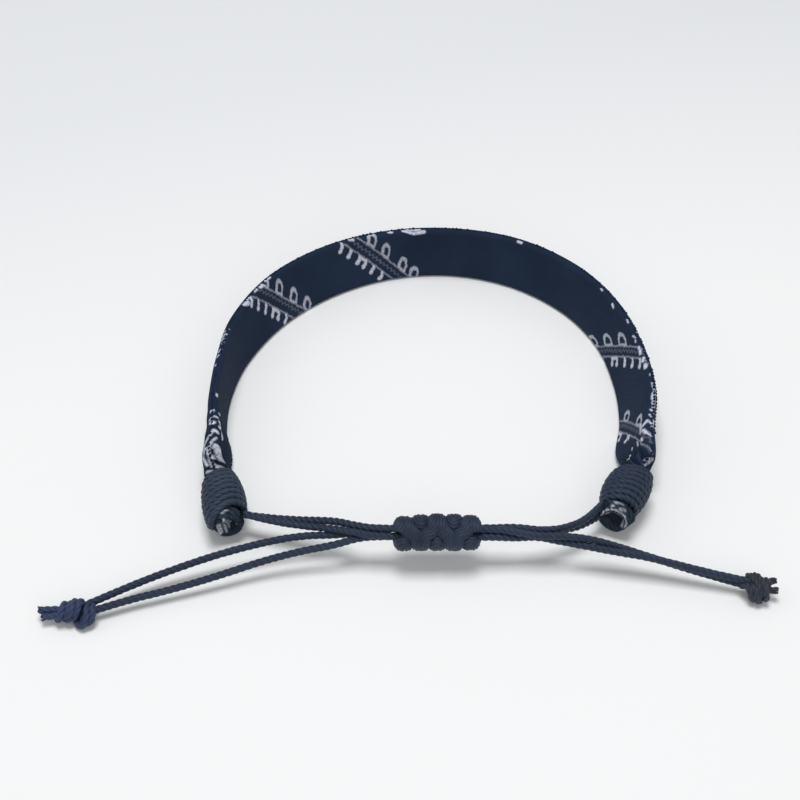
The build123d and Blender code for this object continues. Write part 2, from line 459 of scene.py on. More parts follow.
@dataclass(frozen=True)
class BorderStripe:
    """One crossing of the printed border stripe, in mm on the cloth's map.

    The stripe's own axes run along it from its origin and across it towards its arches. Where no arches
    or bars are named, they stand in a regular row.
    """

    along: float
    around: float
    angle: float
    inner: bool
    arches: tuple[float, ...] = ()
    bars: tuple[float, ...] = ()
    bridges: tuple[float, ...] = ()
    upper_line: float = 2.25
    chain: float = 1.45
    lower_line: float = 0.0
    line_half: float = 0.14
    line_strength: float = 0.42
    chain_half: float = 0.16
    chain_strength: float = 0.16
    chain_wave: float = 0.95
    chain_swing: float = 0.2
    arch_top: float = 4.6
    arch_half: float = 1.02
    arch_wall: float = 0.52
    arch_foot: float = 0.4
    arch_shade: float = 0.1
    arch_lean: float = 0.6
    arch_lean_from: float = 3.5
    arch_pitch: float = 3.85
    arch_strength: float = 0.74
    bar_end: float = -1.75
    bar_half: float = 0.31
    bar_round: float = 0.3
    bar_lean: float = 0.25
    bar_pitch: float = 2.15
    bulb_radius: float = 0.43
    bulb_above_end: float = 0.36
    hook_from: float = -0.55
    hook_lean: float = 0.6
    bridge_half: float = 0.85
    bridge_middle: float = -0.3
    bridge_height: float = 0.28
    bridge_strength: float = 0.95


BORDER_STRIPES = (
    BorderStripe(
        48.39, 4.81, 50.7, True, (-3.7, 0.22, 4.23, 8.08), (-5.81, -3.63, -1.27, 0.93, 2.61, 4.84), (1.75,)
    ),
    BorderStripe(
        68.76,
        4.90,
        48.2,
        True,
        (-2.05, 1.54, 5.99, 8.99),
        (-5.73, -3.62, -1.36, 0.18, 2.21, 4.5),
        (-0.6,),
        chain=1.2,
    ),
    BorderStripe(
        125.09,
        5.16,
        -41.5,
        True,
        (-10.6, -5.65, -0.8),
        (-7.0, -3.3, -1.58, 1.23, 3.9, 6.4),
        (-2.45,),
        upper_line=1.7,
        chain=0.95,
        arch_top=3.9,
        arch_half=1.4,
        arch_lean=0.45,
        bar_end=-1.65,
        bar_lean=0.0,
    ),
    BorderStripe(
        143.07,
        4.80,
        -45.7,
        True,
        (-6.63, -0.08),
        (-6.72, -4.6, -1.3),
        (-5.65,),
        upper_line=1.85,
        chain=1.1,
        arch_top=3.8,
        arch_half=1.2,
        arch_lean=0.45,
        bar_end=-1.65,
        bar_lean=0.0,
    ),
    BorderStripe(39.2, -5.43, 46.0, False),
    BorderStripe(58.9, -5.43, 44.4, False),
    BorderStripe(79.5, -5.43, 45.0, False),
    BorderStripe(113.3, -5.43, -45.0, False),
    BorderStripe(134.0, -5.43, -60.0, False),
)
PRINT_STROKES = (
    # from along and around, to along and around, half width, in mm on the cloth's map
    (42.7, 0.25, 43.3, 0.6, 0.42),
    (47.5, 0.35, 47.9, 0.4, 0.34),
    (46.1, 0.15, 46.5, 0.2, 0.3),
    (43.6, 0.1, 44.6, 0.15, 0.22),
    (49.0, 0.1, 50.2, 0.2, 0.22),
    (66.2, 0.1, 66.7, 0.35, 0.3),
    (73.1, 0.15, 73.5, 0.25, 0.3),
    (75.5, 0.25, 76.9, 0.75, 0.26),
    (76.2, 0.15, 78.4, 0.35, 0.2),
    (77.3, 0.9, 79.1, 0.7, 0.3),
    (95.5, 0.45, 96.1, 0.5, 0.22),
    (113.3, 0.5, 113.6, 0.55, 0.14),
    (117.1, 0.9, 117.6, 1.1, 0.22),
    (121.4, 0.3, 122.0, 0.4, 0.13),
    (124.9, 0.7, 125.4, 0.5, 0.12),
    (125.9, 0.6, 126.3, 0.75, 0.1),
    (127.5, 0.6, 127.9, 0.65, 0.2),
    (128.3, 0.6, 128.9, 0.8, 0.24),
    (130.0, 0.5, 130.5, 0.8, 0.26),
    (131.4, 0.55, 131.9, 0.75, 0.33),
    (133.4, 0.25, 133.7, 0.3, 0.1),
    (135.3, 0.1, 136.1, 0.05, 0.24),
    (136.5, -0.05, 137.0, 0.0, 0.2),
    (137.4, 0.05, 138.4, 0.1, 0.34),
    (138.7, 0.0, 139.3, 0.05, 0.28),
    (139.6, -0.1, 140.0, 0.0, 0.22),
    (140.5, 0.3, 140.9, -0.1, 0.14),
    (141.5, 0.35, 142.3, -0.35, 0.14),
    (142.3, -0.35, 143.7, 0.0, 0.14),
    (143.9, 1.75, 142.6, 0.55, 0.2),
    (142.6, 0.55, 143.1, -0.05, 0.17),
    (142.8, 1.8, 144.2, 1.8, 0.28),
    (144.2, 1.1, 144.8, 0.7, 0.25),
    (144.8, 0.7, 145.2, 0.2, 0.14),
    (145.6, 1.4, 146.0, 1.3, 0.26),
    (145.4, 3.0, 146.4, 2.6, 0.18),
    (142.7, 5.5, 143.0, 5.7, 0.4),
    (145.9, 4.8, 146.3, 4.9, 0.16),
    (147.4, 5.9, 148.1, 7.9, 0.3),
    (149.6, -0.05, 148.3, -0.4, 0.07),
    (149.1, 0.05, 148.5, -0.15, 0.07),
    (36.3, 0.15, 35.6, -0.35, 0.15),
    (35.1, 0.0, 34.5, -0.5, 0.19),
    (34.1, -0.1, 33.6, -0.5, 0.16),
    (33.2, 0.05, 32.9, -0.15, 0.12),
    (31.6, -0.1, 31.0, -0.45, 0.16),
    (30.4, -0.1, 29.8, -0.45, 0.12),
    (28.2, -0.2, 27.9, -0.4, 0.1),
    (21.6, 0.7, 21.8, 0.75, 0.24),
    (18.5, 0.0, 18.6, 0.05, 0.26),
    (18.4, 1.0, 18.2, 1.1, 0.12),
    (17.1, -0.25, 17.6, 0.1, 0.12),
    (17.6, 0.1, 17.4, 0.7, 0.12),
    (16.5, 0.0, 16.5, 0.1, 0.32),
    (16.9, 0.9, 16.6, 1.1, 0.16),
    (16.0, 1.1, 15.0, 2.7, 0.3),
    (15.1, 0.3, 14.9, 0.75, 0.24),
    (15.1, 0.3, 14.2, -0.1, 0.14),
    (14.2, -0.12, 13.5, -0.4, 0.12),
    (13.4, -0.45, 13.0, -0.6, 0.14),
    (12.8, -0.6, 12.0, -0.55, 0.11),
    (11.8, -0.6, 11.2, -0.65, 0.14),
    (11.0, -0.6, 10.4, -0.5, 0.12),
    (13.9, 0.65, 13.1, 0.18, 0.12),
    (13.1, 0.18, 12.3, 0.0, 0.11),
    (12.3, 0.0, 11.35, -0.08, 0.12),
    (11.35, -0.08, 10.5, -0.12, 0.11),
    (10.5, -0.12, 9.85, 0.0, 0.14),
    (9.85, 0.0, 9.3, 0.6, 0.19),
    (12.75, 0.55, 12.2, 0.42, 0.14),
    (12.6, 0.8, 10.7, 0.8, 0.34),
    (12.2, 1.5, 10.8, 1.8, 0.55),
    (11.1, 0.15, 10.9, 0.15, 0.13),
    (12.5, -0.3, 12.3, -0.3, 0.1),
    (9.6, -0.65, 9.1, -0.2, 0.13),
    (9.1, -0.2, 8.9, 0.3, 0.13),
    (1.2, -0.05, 1.25, 0.1, 0.15),
    (0.6, 0.0, 0.7, 0.1, 0.13),
    (159.4, 0.05, 159.5, 0.1, 0.1),
    (159.0, 0.3, 159.1, 0.55, 0.07),
    (159.5, 0.7, 159.7, 0.95, 0.08),
)
TIP_STROKES = {
    # from across and up, to across and up, half width, in mm on the tip's face
    End.LEFT: (
        (-1.45, 0.7, -1.3, -0.9, 0.36),
        (-0.6, 1.7, -0.8, 0.2, 0.18),
        (-0.8, 0.2, -0.4, -1.1, 0.17),
        (-0.1, 1.4, -0.3, 0.1, 0.16),
        (-0.3, 0.1, 0.1, -0.8, 0.15),
        (0.4, 0.4, 1.1, 0.3, 0.09),
        (0.3, -0.2, 0.35, -0.15, 0.15),
    ),
    End.RIGHT: (
        (-1.85, 0.3, -1.55, 1.35, 0.14),
        (-1.55, 1.35, -0.6, 2.15, 0.15),
        (-0.6, 2.15, 0.45, 2.2, 0.14),
        (0.45, 2.2, 1.5, 1.55, 0.15),
        (1.5, 1.55, 1.95, 0.3, 0.15),
        (1.95, 0.3, 1.85, -1.0, 0.15),
        (-1.2, 0.8, -0.5, 1.4, 0.13),
        (-0.5, 1.4, 0.4, 1.45, 0.12),
        (0.4, 1.45, 1.0, 0.95, 0.13),
        (1.0, 0.95, 1.35, 0.1, 0.13),
        (1.35, 0.1, 1.3, -0.9, 0.13),
    ),
}
# how far the map of each tip's face lies from the middle of the map, in mm
TIP_MAP_SHIFT = 400.0
PRINT_PAISLEYS = (
    # middle along and around, heading in degrees, half width, in mm on the cloth's map
    (15.0, -5.6, 30.0, 1.7),
    (25.5, -4.6, -140.0, 1.6),
    (48.6, -6.4, 65.0, 1.5),
    (69.0, -4.2, -110.0, 1.6),
    (90.5, -6.2, 20.0, 1.9),
    (97.5, -3.8, 195.0, 1.6),
    (104.5, -6.6, 110.0, 1.4),
    (123.8, -3.9, -60.0, 1.6),
    (143.6, -6.8, 130.0, 1.6),
)


@dataclass(frozen=True)
class PaisleyShape:
    """The sizes of a printed paisley, as shares of its half width or in mm on the cloth's map."""

    length: float = 2.1
    bend: float = 0.9
    point: float = 0.88
    edge: float = 0.2
    edge_half: float = 0.17
    edge_strength: float = 0.9
    lining: float = 0.68
    lining_half: float = 0.12
    lining_strength: float = 0.8
    beads: float = 14.0
    heart: float = 0.68
    heart_strength: float = 0.9


@dataclass(frozen=True)
class PrintedCottonFinish:
    """Navy cotton with a pale traditional border print and a fine plain weave, in mm on the cloth's map."""

    name: str = "printed_cotton"
    ground: Colour = tone(26, 37, 55)
    ground_light: Colour = tone(52, 69, 92)
    tip_ground: Colour = tone(50, 62, 74)
    ink: Colour = tone(222, 225, 242)
    roughness: float = 0.85
    specular: float = 0.12
    thread: float = 0.34
    thread_height: float = 0.04 * MM
    thread_strength: float = 0.7
    weave_share: float = 0.18
    patches: float = 90.0
    patch_share: float = 0.6
    # share of the colour that the gathers' height paints as shade and light
    gather_shade_share: float = 0.3
    gather_height: float = 0.3 * MM
    gather_pitch: float = 1.15
    gather_slope: float = 0.8
    gather_sway: float = 1.7
    gathered_to: float = 13.5
    gathered_from: float = 145.5
    gather_fade: float = 3.0
    map_middle: float = 80.2
    map_plain_half: float = 73.0
    tip_fade: float = 0.2
    ink_edge: float = 0.13
    inner_from: float = -0.1
    outer_from: float = -1.2
    drift_scale: float = 1.1
    drift: float = 0.55
    stroke_drift: float = 0.4
    shortest_square: float = 0.01
    wear_scale: float = 3.5
    wear: float = 1.9
    wear_weave: float = 0.12
    wear_from: float = 0.12
    paisley: PaisleyShape = PaisleyShape()

    def build(self) -> bpy.types.Material:
        """Makes the material on the band's own map, in metres along and around.

        Returns:
            The material.
        """
        material, maker, shader = new_material(self.name, self.roughness)
        place = maker.vector("SCALE", maker.out("ShaderNodeUVMap", "UV", uv_map=CLOTH_MAP), 1 / MM)
        parts = maker.parts(place)
        weave = self.thread_wave(parts["X"]) * self.thread_wave(parts["Y"])
        patches = maker.noise(maker.object_place(), self.patches, detail=5.0)
        gathers = self.gathers(parts["X"], parts["Y"])
        # painted shade and light: the cloth's colour follows the gathers' height, darker in their troughs and
        # lighter on their crests
        share = weave * self.weave_share + patches * self.patch_share + gathers * self.gather_shade_share
        cloth = maker.blend(share.clamped(), self.ground, self.ground_light)
        beyond = abs(parts["X"] - self.map_middle) - self.map_plain_half
        ground = maker.blend((beyond * self.tip_fade).clamped(), cloth, self.tip_ground)
        colour = maker.blend(self.print_ink(place, weave), ground, self.ink)
        threads = {"Height": weave, "Distance": self.thread_height, "Strength": self.thread_strength}
        folds = {"Height": gathers, "Distance": self.gather_height, "Strength": 1.0}
        folds["Normal"] = maker.out("ShaderNodeBump", 0, threads)
        maker.feed(shader.inputs["Base Color"], colour)
        maker.feed(shader.inputs["Normal"], maker.out("ShaderNodeBump", 0, folds))
        shader.inputs["Sheen Weight"].default_value = 0.0
        shader.inputs["Specular IOR Level"].default_value = self.specular
        return material

    def thread_wave(self, distance: Wire) -> Wire:
        """A wave of one thread's width across the threads of one direction."""
        return (distance * (2 * pi / self.thread)).sine()

    def gathers(self, along: Wire, around: Wire) -> Wire:
        """The height of the slanting gathers near both whippings.

        Args:
            along: The place along the cloth.
            around: The place across it, from the upper fold.

        Returns:
            A height from -1 to 1.
        """
        near_left = ((self.gathered_to - along) / self.gather_fade).clamped()
        near_right = ((along - self.gathered_from) / self.gather_fade).clamped()
        phase = (around + along * self.gather_slope) * (2 * pi / self.gather_pitch)
        return (phase + (around * self.gather_sway).sine()).sine() * near_left.larger(near_right)

    def print_ink(self, place: Wire, weave: Wire) -> Wire:
        """How much ink each place carries.

        Args:
            place: The place on the cloth's map.
            weave: The threads' height from -1 to 1.

        Returns:
            The ink's strength from 0 to 1.
        """
        ink: Wire | float = 0.0
        for mark in self.marks(place):
            ink = place.maker.math("MAXIMUM", ink, mark)
        worn = place.maker.noise(place, self.wear_scale, detail=3.0)
        cover = worn * self.wear + weave * self.wear_weave
        return ink * (cover - self.wear_from).clamped()

    def marks(self, place: Wire) -> Iterator[Wire]:
        """Draws the marks of the print one after another.

        Args:
            place: The place on the cloth's map.

        Yields:
            The ink of each mark.
        """
        maker = place.maker
        uneven = maker.vector("SUBTRACT", maker.noise(place, self.drift_scale, key="Color"), (0.5, 0.5, 0.5))
        drift = maker.vector("SCALE", uneven, self.drift)
        shifted = maker.vector("ADD", place, drift)
        nearby = maker.vector("ADD", place, maker.vector("SCALE", drift, self.stroke_drift))
        around = maker.parts(shifted)["Y"]
        faces = {True: self.inside(around - self.inner_from), False: self.inside(self.outer_from - around)}
        regular = self.stripe_tree("regular_border_stripe", BORDER_STRIPES[-1])
        for number, stripe in enumerate(BORDER_STRIPES, 1):
            tree = self.stripe_tree(f"border_stripe_{number}", stripe) if stripe.arches else regular
            origin = (stripe.along, stripe.around, 0.0)
            yield self.mark(tree, shifted, origin, radians(-stripe.angle)) * faces[stripe.inner]
        stroke = self.stroke_tree()
        for from_along, from_around, to_along, to_around, half in PRINT_STROKES:
            yield self.stroke(stroke, nearby, (from_along, from_around), (to_along, to_around), half)
        for end, strokes in TIP_STROKES.items():
            face = end.value * TIP_MAP_SHIFT
            for from_across, from_up, to_across, to_up, half in strokes:
                first, last = (face + from_across, from_up), (face + to_across, to_up)
                yield self.stroke(stroke, place, first, last, half)
        paisley = self.paisley_tree()
        for middle_along, middle_around, heading, half in PRINT_PAISLEYS:
            yield self.mark(paisley, shifted, (middle_along, middle_around, 0.0), radians(heading), half)

    def mark(self, tree: bpy.types.NodeTree, place: Wire, *values: Any) -> Wire:
        """The ink of one mark from its own tree."""
        return place.maker.out("ShaderNodeGroup", 0, dict(enumerate((place, *values))), node_tree=tree)

    def stroke(
        self,
        tree: bpy.types.NodeTree,
        place: Wire,
        start: tuple[float, float],
        end: tuple[float, float],
        half: float,
    ) -> Wire:
        """The ink of one stroke.

        Args:
            tree: The tree of a stroke.
            place: The place on the cloth's map.
            start: Where the stroke starts.
            end: Where it ends.
            half: Half its width.

        Returns:
            The ink's strength.
        """
        first = Vector((*start, 0.0))
        run = Vector((*end, 0.0)) - first
        return self.mark(tree, place, first, run, 1 / max(run.length_squared, self.shortest_square), half)

    def inside(self, depth: Wire) -> Wire:
        """1 where the depth inside a mark is above 0, with a soft edge."""
        return depth.scaled(0.5 / self.ink_edge, 0.5).clamped()

    def reach(self, aside: Wire, beyond: Wire) -> Wire:
        """The distance from a line's end, for rounded ends."""
        return (aside * aside + beyond * beyond).root()

    def line_ink(self, across: Wire, middle: float, half: float, strength: float) -> Wire:
        """The ink of one line along a stripe."""
        return self.inside(half - abs(across - middle)) * strength

    def nearest(self, along: Wire, middles: Sequence[float], pitch: float) -> Wire:
        """The distance to the nearest of the middles, or of a regular row where none are given.

        Args:
            along: The place along the row.
            middles: The middles, or none.
            pitch: The regular row's pitch.

        Returns:
            The distance without its sign.
        """
        if not middles:
            return abs(along.maker.math("WRAP", along, pitch / 2, -pitch / 2))
        best = abs(along - middles[0])
        for middle in middles[1:]:
            best = best.smaller(abs(along - middle))
        return best

    def new_print_tree(
        self, name: str, vectors: Sequence[str], numbers: Sequence[str]
    ) -> tuple[TreeMaker, dict[str, Wire]]:
        """A tree for one kind of mark, with the ink as its output.

        Args:
            name: The tree's name.
            vectors: The names of its vector inputs.
            numbers: The names of the number inputs that follow them.

        Returns:
            The tree's maker and its inputs by name.
        """
        tree = bpy.data.node_groups.new(name, "ShaderNodeTree")
        tree.interface.new_socket("Ink", in_out="OUTPUT", socket_type="NodeSocketFloat")
        for labels, kind in ((vectors, "NodeSocketVector"), (numbers, "NodeSocketFloat")):
            for label in labels:
                tree.interface.new_socket(label, in_out="INPUT", socket_type=kind)
        maker = TreeMaker(tree)
        return maker, maker.outs("NodeGroupInput")

    def flat_away(self, place: Wire, origin: Wire) -> Wire:
        """The way from a mark's origin to the place, level on the map."""
        return place.maker.vector("MULTIPLY", place.maker.vector("SUBTRACT", place, origin), (1.0, 1.0, 0.0))

    def turned_parts(self, away: Wire, turn: Wire) -> dict[str, Wire]:
        """The parts of a way on axes turned about the map's normal."""
        inputs = {"Vector": away, "Angle": turn}
        return away.maker.parts(away.maker.out("ShaderNodeVectorRotate", 0, inputs, rotation_type="Z_AXIS"))

    def stroke_tree(self) -> bpy.types.NodeTree:
        """The tree of one stroke with rounded ends.

        Returns:
            The tree.
        """
        maker, given = self.new_print_tree(
            "print_stroke", ("Place", "Start", "Run"), ("Inverse Square", "Half Width")
        )
        away = self.flat_away(given["Place"], given["Start"])
        share = (maker.vector("DOT_PRODUCT", away, given["Run"]) * given["Inverse Square"]).clamped()
        gap = maker.vector("SUBTRACT", away, maker.vector("SCALE", given["Run"], share))
        maker.node("NodeGroupOutput", {0: self.inside(given["Half Width"] - maker.vector("LENGTH", gap))})
        return maker.tree

    def stripe_tree(self, name: str, stripe: BorderStripe) -> bpy.types.NodeTree:
        """The tree of one border stripe: two lines, a chain between them, arches and bars.

        Args:
            name: The tree's name.
            stripe: The stripe's sizes and the places of its arches and bars.

        Returns:
            The tree, which asks for a place, the stripe's origin and its turn.
        """
        maker, given = self.new_print_tree(name, ("Place", "Origin"), ("Turn",))
        parts = self.turned_parts(self.flat_away(given["Place"], given["Origin"]), given["Turn"])
        down, across = parts["X"], parts["Y"] * -1.0
        upper = self.line_ink(across, stripe.upper_line, stripe.line_half, stripe.line_strength)
        lower = self.line_ink(across, stripe.lower_line, stripe.line_half, stripe.line_strength)
        swing = (down * (2 * pi / stripe.chain_wave)).sine() * stripe.chain_swing
        chain = self.line_ink(across - swing, stripe.chain, stripe.chain_half, stripe.chain_strength)
        ink = upper.larger(lower).larger(chain.larger(self.arch_ink(stripe, down, across)))
        maker.node("NodeGroupOutput", {0: ink.larger(self.bar_ink(stripe, down, across))})
        return maker.tree

    def arch_ink(self, stripe: BorderStripe, down: Wire, across: Wire) -> Wire:
        """The ink of a stripe's open arches.

        Args:
            stripe: The stripe's sizes.
            down: The place along the stripe.
            across: The place across it.

        Returns:
            The ink's strength.
        """
        half = stripe.arch_half
        crown = stripe.arch_top - half
        leaning = (across - stripe.arch_lean_from).scaled(stripe.arch_lean, down)
        outer_aside = self.nearest(leaning, stripe.arches, stripe.arch_pitch)
        outer = self.reach(outer_aside, (across - crown).larger(0.0))
        inner_aside = self.nearest(leaning - stripe.arch_shade, stripe.arches, stripe.arch_pitch)
        inner = self.reach(inner_aside, (across - (crown - stripe.arch_shade)).larger(0.0))
        solid = self.inside(half - outer) * self.inside(across - stripe.upper_line)
        opening = self.inside(across - (stripe.upper_line + stripe.arch_foot))
        hollow = self.inside(half - stripe.arch_wall - inner) * opening
        return (solid - hollow).clamped() * stripe.arch_strength

    def bar_ink(self, stripe: BorderStripe, down: Wire, across: Wire) -> Wire:
        """The ink of a stripe's hooked bars with bulbs at their ends, and of the bridges between bars.

        Args:
            stripe: The stripe's sizes.
            down: The place along the stripe.
            across: The place across it.

        Returns:
            The ink's strength.
        """
        hooked = (across - stripe.hook_from).larger(0.0) * stripe.hook_lean
        swayed = across.scaled(stripe.bar_lean, down) + hooked
        aside = self.nearest(swayed, stripe.bars, stripe.bar_pitch)
        above_end = self.inside(across - (stripe.bar_end + stripe.bar_round))
        below_line = self.inside(stripe.lower_line - across)
        stem = self.inside(stripe.bar_half - aside) * (above_end * below_line)
        from_bulb = self.reach(aside, across - (stripe.bar_end + stripe.bulb_above_end))
        ink = stem.larger(self.inside(stripe.bulb_radius - from_bulb))
        if stripe.bridges:
            beside = self.inside(stripe.bridge_half - self.nearest(down, stripe.bridges, 1.0))
            level = self.line_ink(across, stripe.bridge_middle, stripe.bridge_height, stripe.bridge_strength)
            ink = ink.larger(beside * level)
        return ink

    def paisley_tree(self) -> bpy.types.NodeTree:
        """The tree of one paisley: a bent drop in outline with a dotted lining and a solid heart.

        Returns:
            The tree.
        """
        shape = self.paisley
        maker, given = self.new_print_tree("print_paisley", ("Place", "Middle"), ("Heading", "Half Width"))
        parts = self.turned_parts(self.flat_away(given["Place"], given["Middle"]), given["Heading"])
        size = given["Half Width"]
        length = size * shape.length
        share = (parts["X"] / length).clamped()
        bend = share * share * (size * shape.bend)
        gap = self.reach(parts["X"] - share * length, parts["Y"] - bend)
        depth = size * (1.0 - share * shape.point) - gap
        edge = self.line_ink(depth, shape.edge, shape.edge_half, shape.edge_strength)
        bearing = maker.math("ARCTAN2", parts["Y"], parts["X"])
        beads = self.inside((bearing * shape.beads).sine())
        lining = self.line_ink(depth, shape.lining, shape.lining_half, shape.lining_strength) * beads
        heart = self.inside(depth - size * shape.heart) * shape.heart_strength
        maker.node("NodeGroupOutput", {0: edge.larger(lining.larger(heart))})
        return maker.tree


@dataclass(frozen=True)
class FoldThreadFinish:
    """The plain navy threads that stand up along a fold."""

    name: str = "fold_thread"
    dark: Colour = tone(20, 30, 50)
    light: Colour = tone(38, 54, 82)
    roughness: float = 0.85
    specular: float = 0.12
    patches: float = 900.0

    def build(self) -> bpy.types.Material:
        """Makes the material with uneven threads.

        Returns:
            The material.
        """
        material, maker, shader = new_material(self.name, self.roughness)
        uneven = maker.noise(maker.object_place(), self.patches)
        maker.feed(shader.inputs["Base Color"], maker.blend(uneven, self.dark, self.light))
        shader.inputs["Specular IOR Level"].default_value = self.specular
        return material


@dataclass(frozen=True)
class PaleFloorFinish:
    """A matt white studio floor whose colour darkens a little towards the back, as painted shade."""

    name: str = "pale_floor"
    near: Colour = tone(250, 251, 251)
    far: Colour = tone(238, 240, 243)
    roughness: float = 0.9
    grain: float = 400.0
    grain_share: float = 0.06
    slant: float = 0.3
    fade_from: float = 0.01
    fade: float = 11.0

    def build(self) -> bpy.types.Material:
        """Makes the material with a faint grain.

        Returns:
            The material.
        """
        material, maker, shader = new_material(self.name, self.roughness)
        place = maker.object_place()
        parts = maker.parts(place)
        # painted shade: the floor's colour darkens towards the back and left, standing in for the light
        # falling off there
        backwards = parts["Y"] - parts["X"] * self.slant
        far = ((backwards - self.fade_from) * self.fade).clamped()
        share = (far + maker.noise(place, self.grain) * self.grain_share).clamped()
        maker.feed(shader.inputs["Base Color"], maker.blend(share, self.near, self.far))
        return material


class TwistedCordTrees:
    """The geometry trees that lay plies along a path and a whipping's turns, and set fibres and threads."""

    PLY_INPUTS = (
        ("Plies", "NodeSocketInt", 3),
        ("Lay", "NodeSocketFloat", 2.9 * MM),
        ("Cord Diameter", "NodeSocketFloat", 1.0 * MM),
        ("Ply Diameter", "NodeSocketFloat", 0.59 * MM),
        ("Step", "NodeSocketFloat", 0.13 * MM),
        ("Sides", "NodeSocketInt", 8),
        ("Wobble", "NodeSocketFloat", 0.12),
        ("Seed", "NodeSocketFloat", 3.0),
        ("Material", "NodeSocketMaterial", None),
    )
    WHIPPING_INPUTS = (
        ("Turns", "NodeSocketFloat", 8.0),
        ("Pitch", "NodeSocketFloat", 1.0 * MM),
        ("Middle Radius", "NodeSocketFloat", 2.85 * MM),
        ("End Radius", "NodeSocketFloat", 2.25 * MM),
        ("Slant", "NodeSocketFloat", 0.2),
        ("Fan", "NodeSocketFloat", 0.0),
        ("Taper", "NodeSocketFloat", 0.0),
        ("Bend", "NodeSocketFloat", 0.0),
        ("Samples", "NodeSocketInt", 500),
    )
    FRAYED_END_INPUTS = (
        ("Count", "NodeSocketInt", 46),
        ("Tuft Radius", "NodeSocketFloat", 0.46 * MM),
        ("Fibre Length", "NodeSocketFloat", 0.62 * MM),
        ("Fibre Radius", "NodeSocketFloat", 0.07 * MM),
        ("Spread", "NodeSocketFloat", 0.55),
        ("Seed", "NodeSocketInt", 5),
        ("Material", "NodeSocketMaterial", None),
    )
    FOLD_THREAD_INPUTS = (
        ("Spacing", "NodeSocketFloat", 0.62 * MM),
        ("Thread Length", "NodeSocketFloat", 0.62 * MM),
        ("Thread Radius", "NodeSocketFloat", 0.2 * MM),
        ("Slant", "NodeSocketFloat", 0.45),
        ("Scatter", "NodeSocketFloat", 0.14 * MM),
        ("Seed", "NodeSocketInt", 8),
        ("Material", "NodeSocketMaterial", None),
    )
    # the waves of a ply's width for each metre of it, and their shift from ply to ply
    WIDTH_WAVES = 900.0
    WIDTH_SHIFT = 37.0
    SEED_STEP = 101.0
    FIBRE_SIDES = 5
    THREAD_GRAIN = {"Segments": 6, "Rings": 5, "Radius": 1.0}

    def __init__(self) -> None:
        """Builds all the trees."""
        self.plies = self.build_plies()
        self.along_path = self.build_along_path()
        self.whipping = self.build_whipping()
        self.frayed_end = self.build_frayed_end()
        self.fold_threads = self.build_fold_threads()

    def laid(self, curve: Wire, given: dict[str, Wire]) -> Wire:
        """The plies laid along a curve, with the sizes that a tree is given.

        Args:
            curve: The curve.
            given: The tree's inputs by name.

        Returns:
            The plies.
        """
        inputs = {"Geometry": curve} | {label: given[label] for label, _, _ in self.PLY_INPUTS}
        return curve.maker.out("GeometryNodeGroup", 0, inputs, node_tree=self.plies)

    def random(self, seed: Wire, salt: int, low: float, high: float) -> Wire:
        """A random value for each point.

        Args:
            seed: The tree's seed.
            salt: A number that parts this draw from the tree's others.
            low: The lowest value.
            high: The highest value.

        Returns:
            The value.
        """
        node = seed.maker.node("FunctionNodeRandomValue", data_type="FLOAT")
        for socket in node.inputs:
            if socket.type == "VALUE" and socket.name in ("Min", "Max"):
                socket.default_value = low if socket.name == "Min" else high
        seed.maker.feed(node.inputs["Seed"], seed + salt * self.SEED_STEP)
        return Wire(seed.maker, next(socket for socket in node.outputs if socket.type == "VALUE"))

    def build_plies(self) -> bpy.types.NodeTree:
        """The tree that lays plies round the centreline of a curve.

        Returns:
            The tree.
        """
        maker, size = new_geometry_tree("twisted_plies", self.PLY_INPUTS)
        even = maker.out(
            "GeometryNodeResampleCurve", 0, {"Curve": size["Geometry"], "Length": size["Step"]}, mode="LENGTH"
        )
        copies = maker.outs(
            "GeometryNodeDuplicateElements", {"Geometry": even, "Amount": size["Plies"]}, domain="SPLINE"
        )
        length = maker.out("GeometryNodeSplineParameter", "Length")
        share = copies["Duplicate Index"] / size["Plies"]
        angle = (length / size["Lay"] + share) * (2 * pi)
        normal = maker.out("GeometryNodeInputNormal", 0)
        side = maker.vector("CROSS_PRODUCT", maker.out("GeometryNodeInputTangent", 0), normal)
        reach = (size["Cord Diameter"] - size["Ply Diameter"]) * 0.5
        offset = maker.vector(
            "ADD",
            maker.vector("SCALE", normal, angle.cosine() * reach),
            maker.vector("SCALE", side, angle.sine() * reach),
        )
        wound = maker.out("GeometryNodeSetPosition", 0, {"Geometry": copies["Geometry"], "Offset": offset})
        named = maker.store(wound, PLY_ALONG, length, "FLOAT")
        waves = length * self.WIDTH_WAVES + (size["Seed"] + share * self.WIDTH_SHIFT)
        uneven = maker.out(
            "ShaderNodeTexNoise", 0, {"W": waves, "Scale": 1.0, "Detail": 1.0}, noise_dimensions="1D"
        )
        width = (uneven - 0.5) * size["Wobble"] + 1.0
        sized = maker.out("GeometryNodeSetCurveRadius", 0, {"Curve": named, "Radius": width})
        ring = maker.out(
            "GeometryNodeCurvePrimitiveCircle",
            0,
            {"Resolution": size["Sides"], "Radius": size["Ply Diameter"] * 0.5},
        )
        unit = maker.vector("NORMALIZE", maker.out("GeometryNodeInputPosition", 0))
        rounded = maker.store(ring, PLY_ROUND, unit, "FLOAT_VECTOR")
        solid = maker.out(
            "GeometryNodeCurveToMesh", 0, {"Curve": sized, "Profile Curve": rounded, "Fill Caps": True}
        )
        return finished_tree(maker.out("GeometryNodeSetShadeSmooth", 0, {0: solid}), size["Material"])

    def build_along_path(self) -> bpy.types.NodeTree:
        """The tree that lays a twisted cord along a carrier's edges.

        Returns:
            The tree.
        """
        maker, size = new_geometry_tree("cord_along_path", self.PLY_INPUTS)
        curve = maker.out("GeometryNodeMeshToCurve", 0, {"Mesh": size["Geometry"]})
        return finished_tree(self.laid(curve, size), size["Material"])

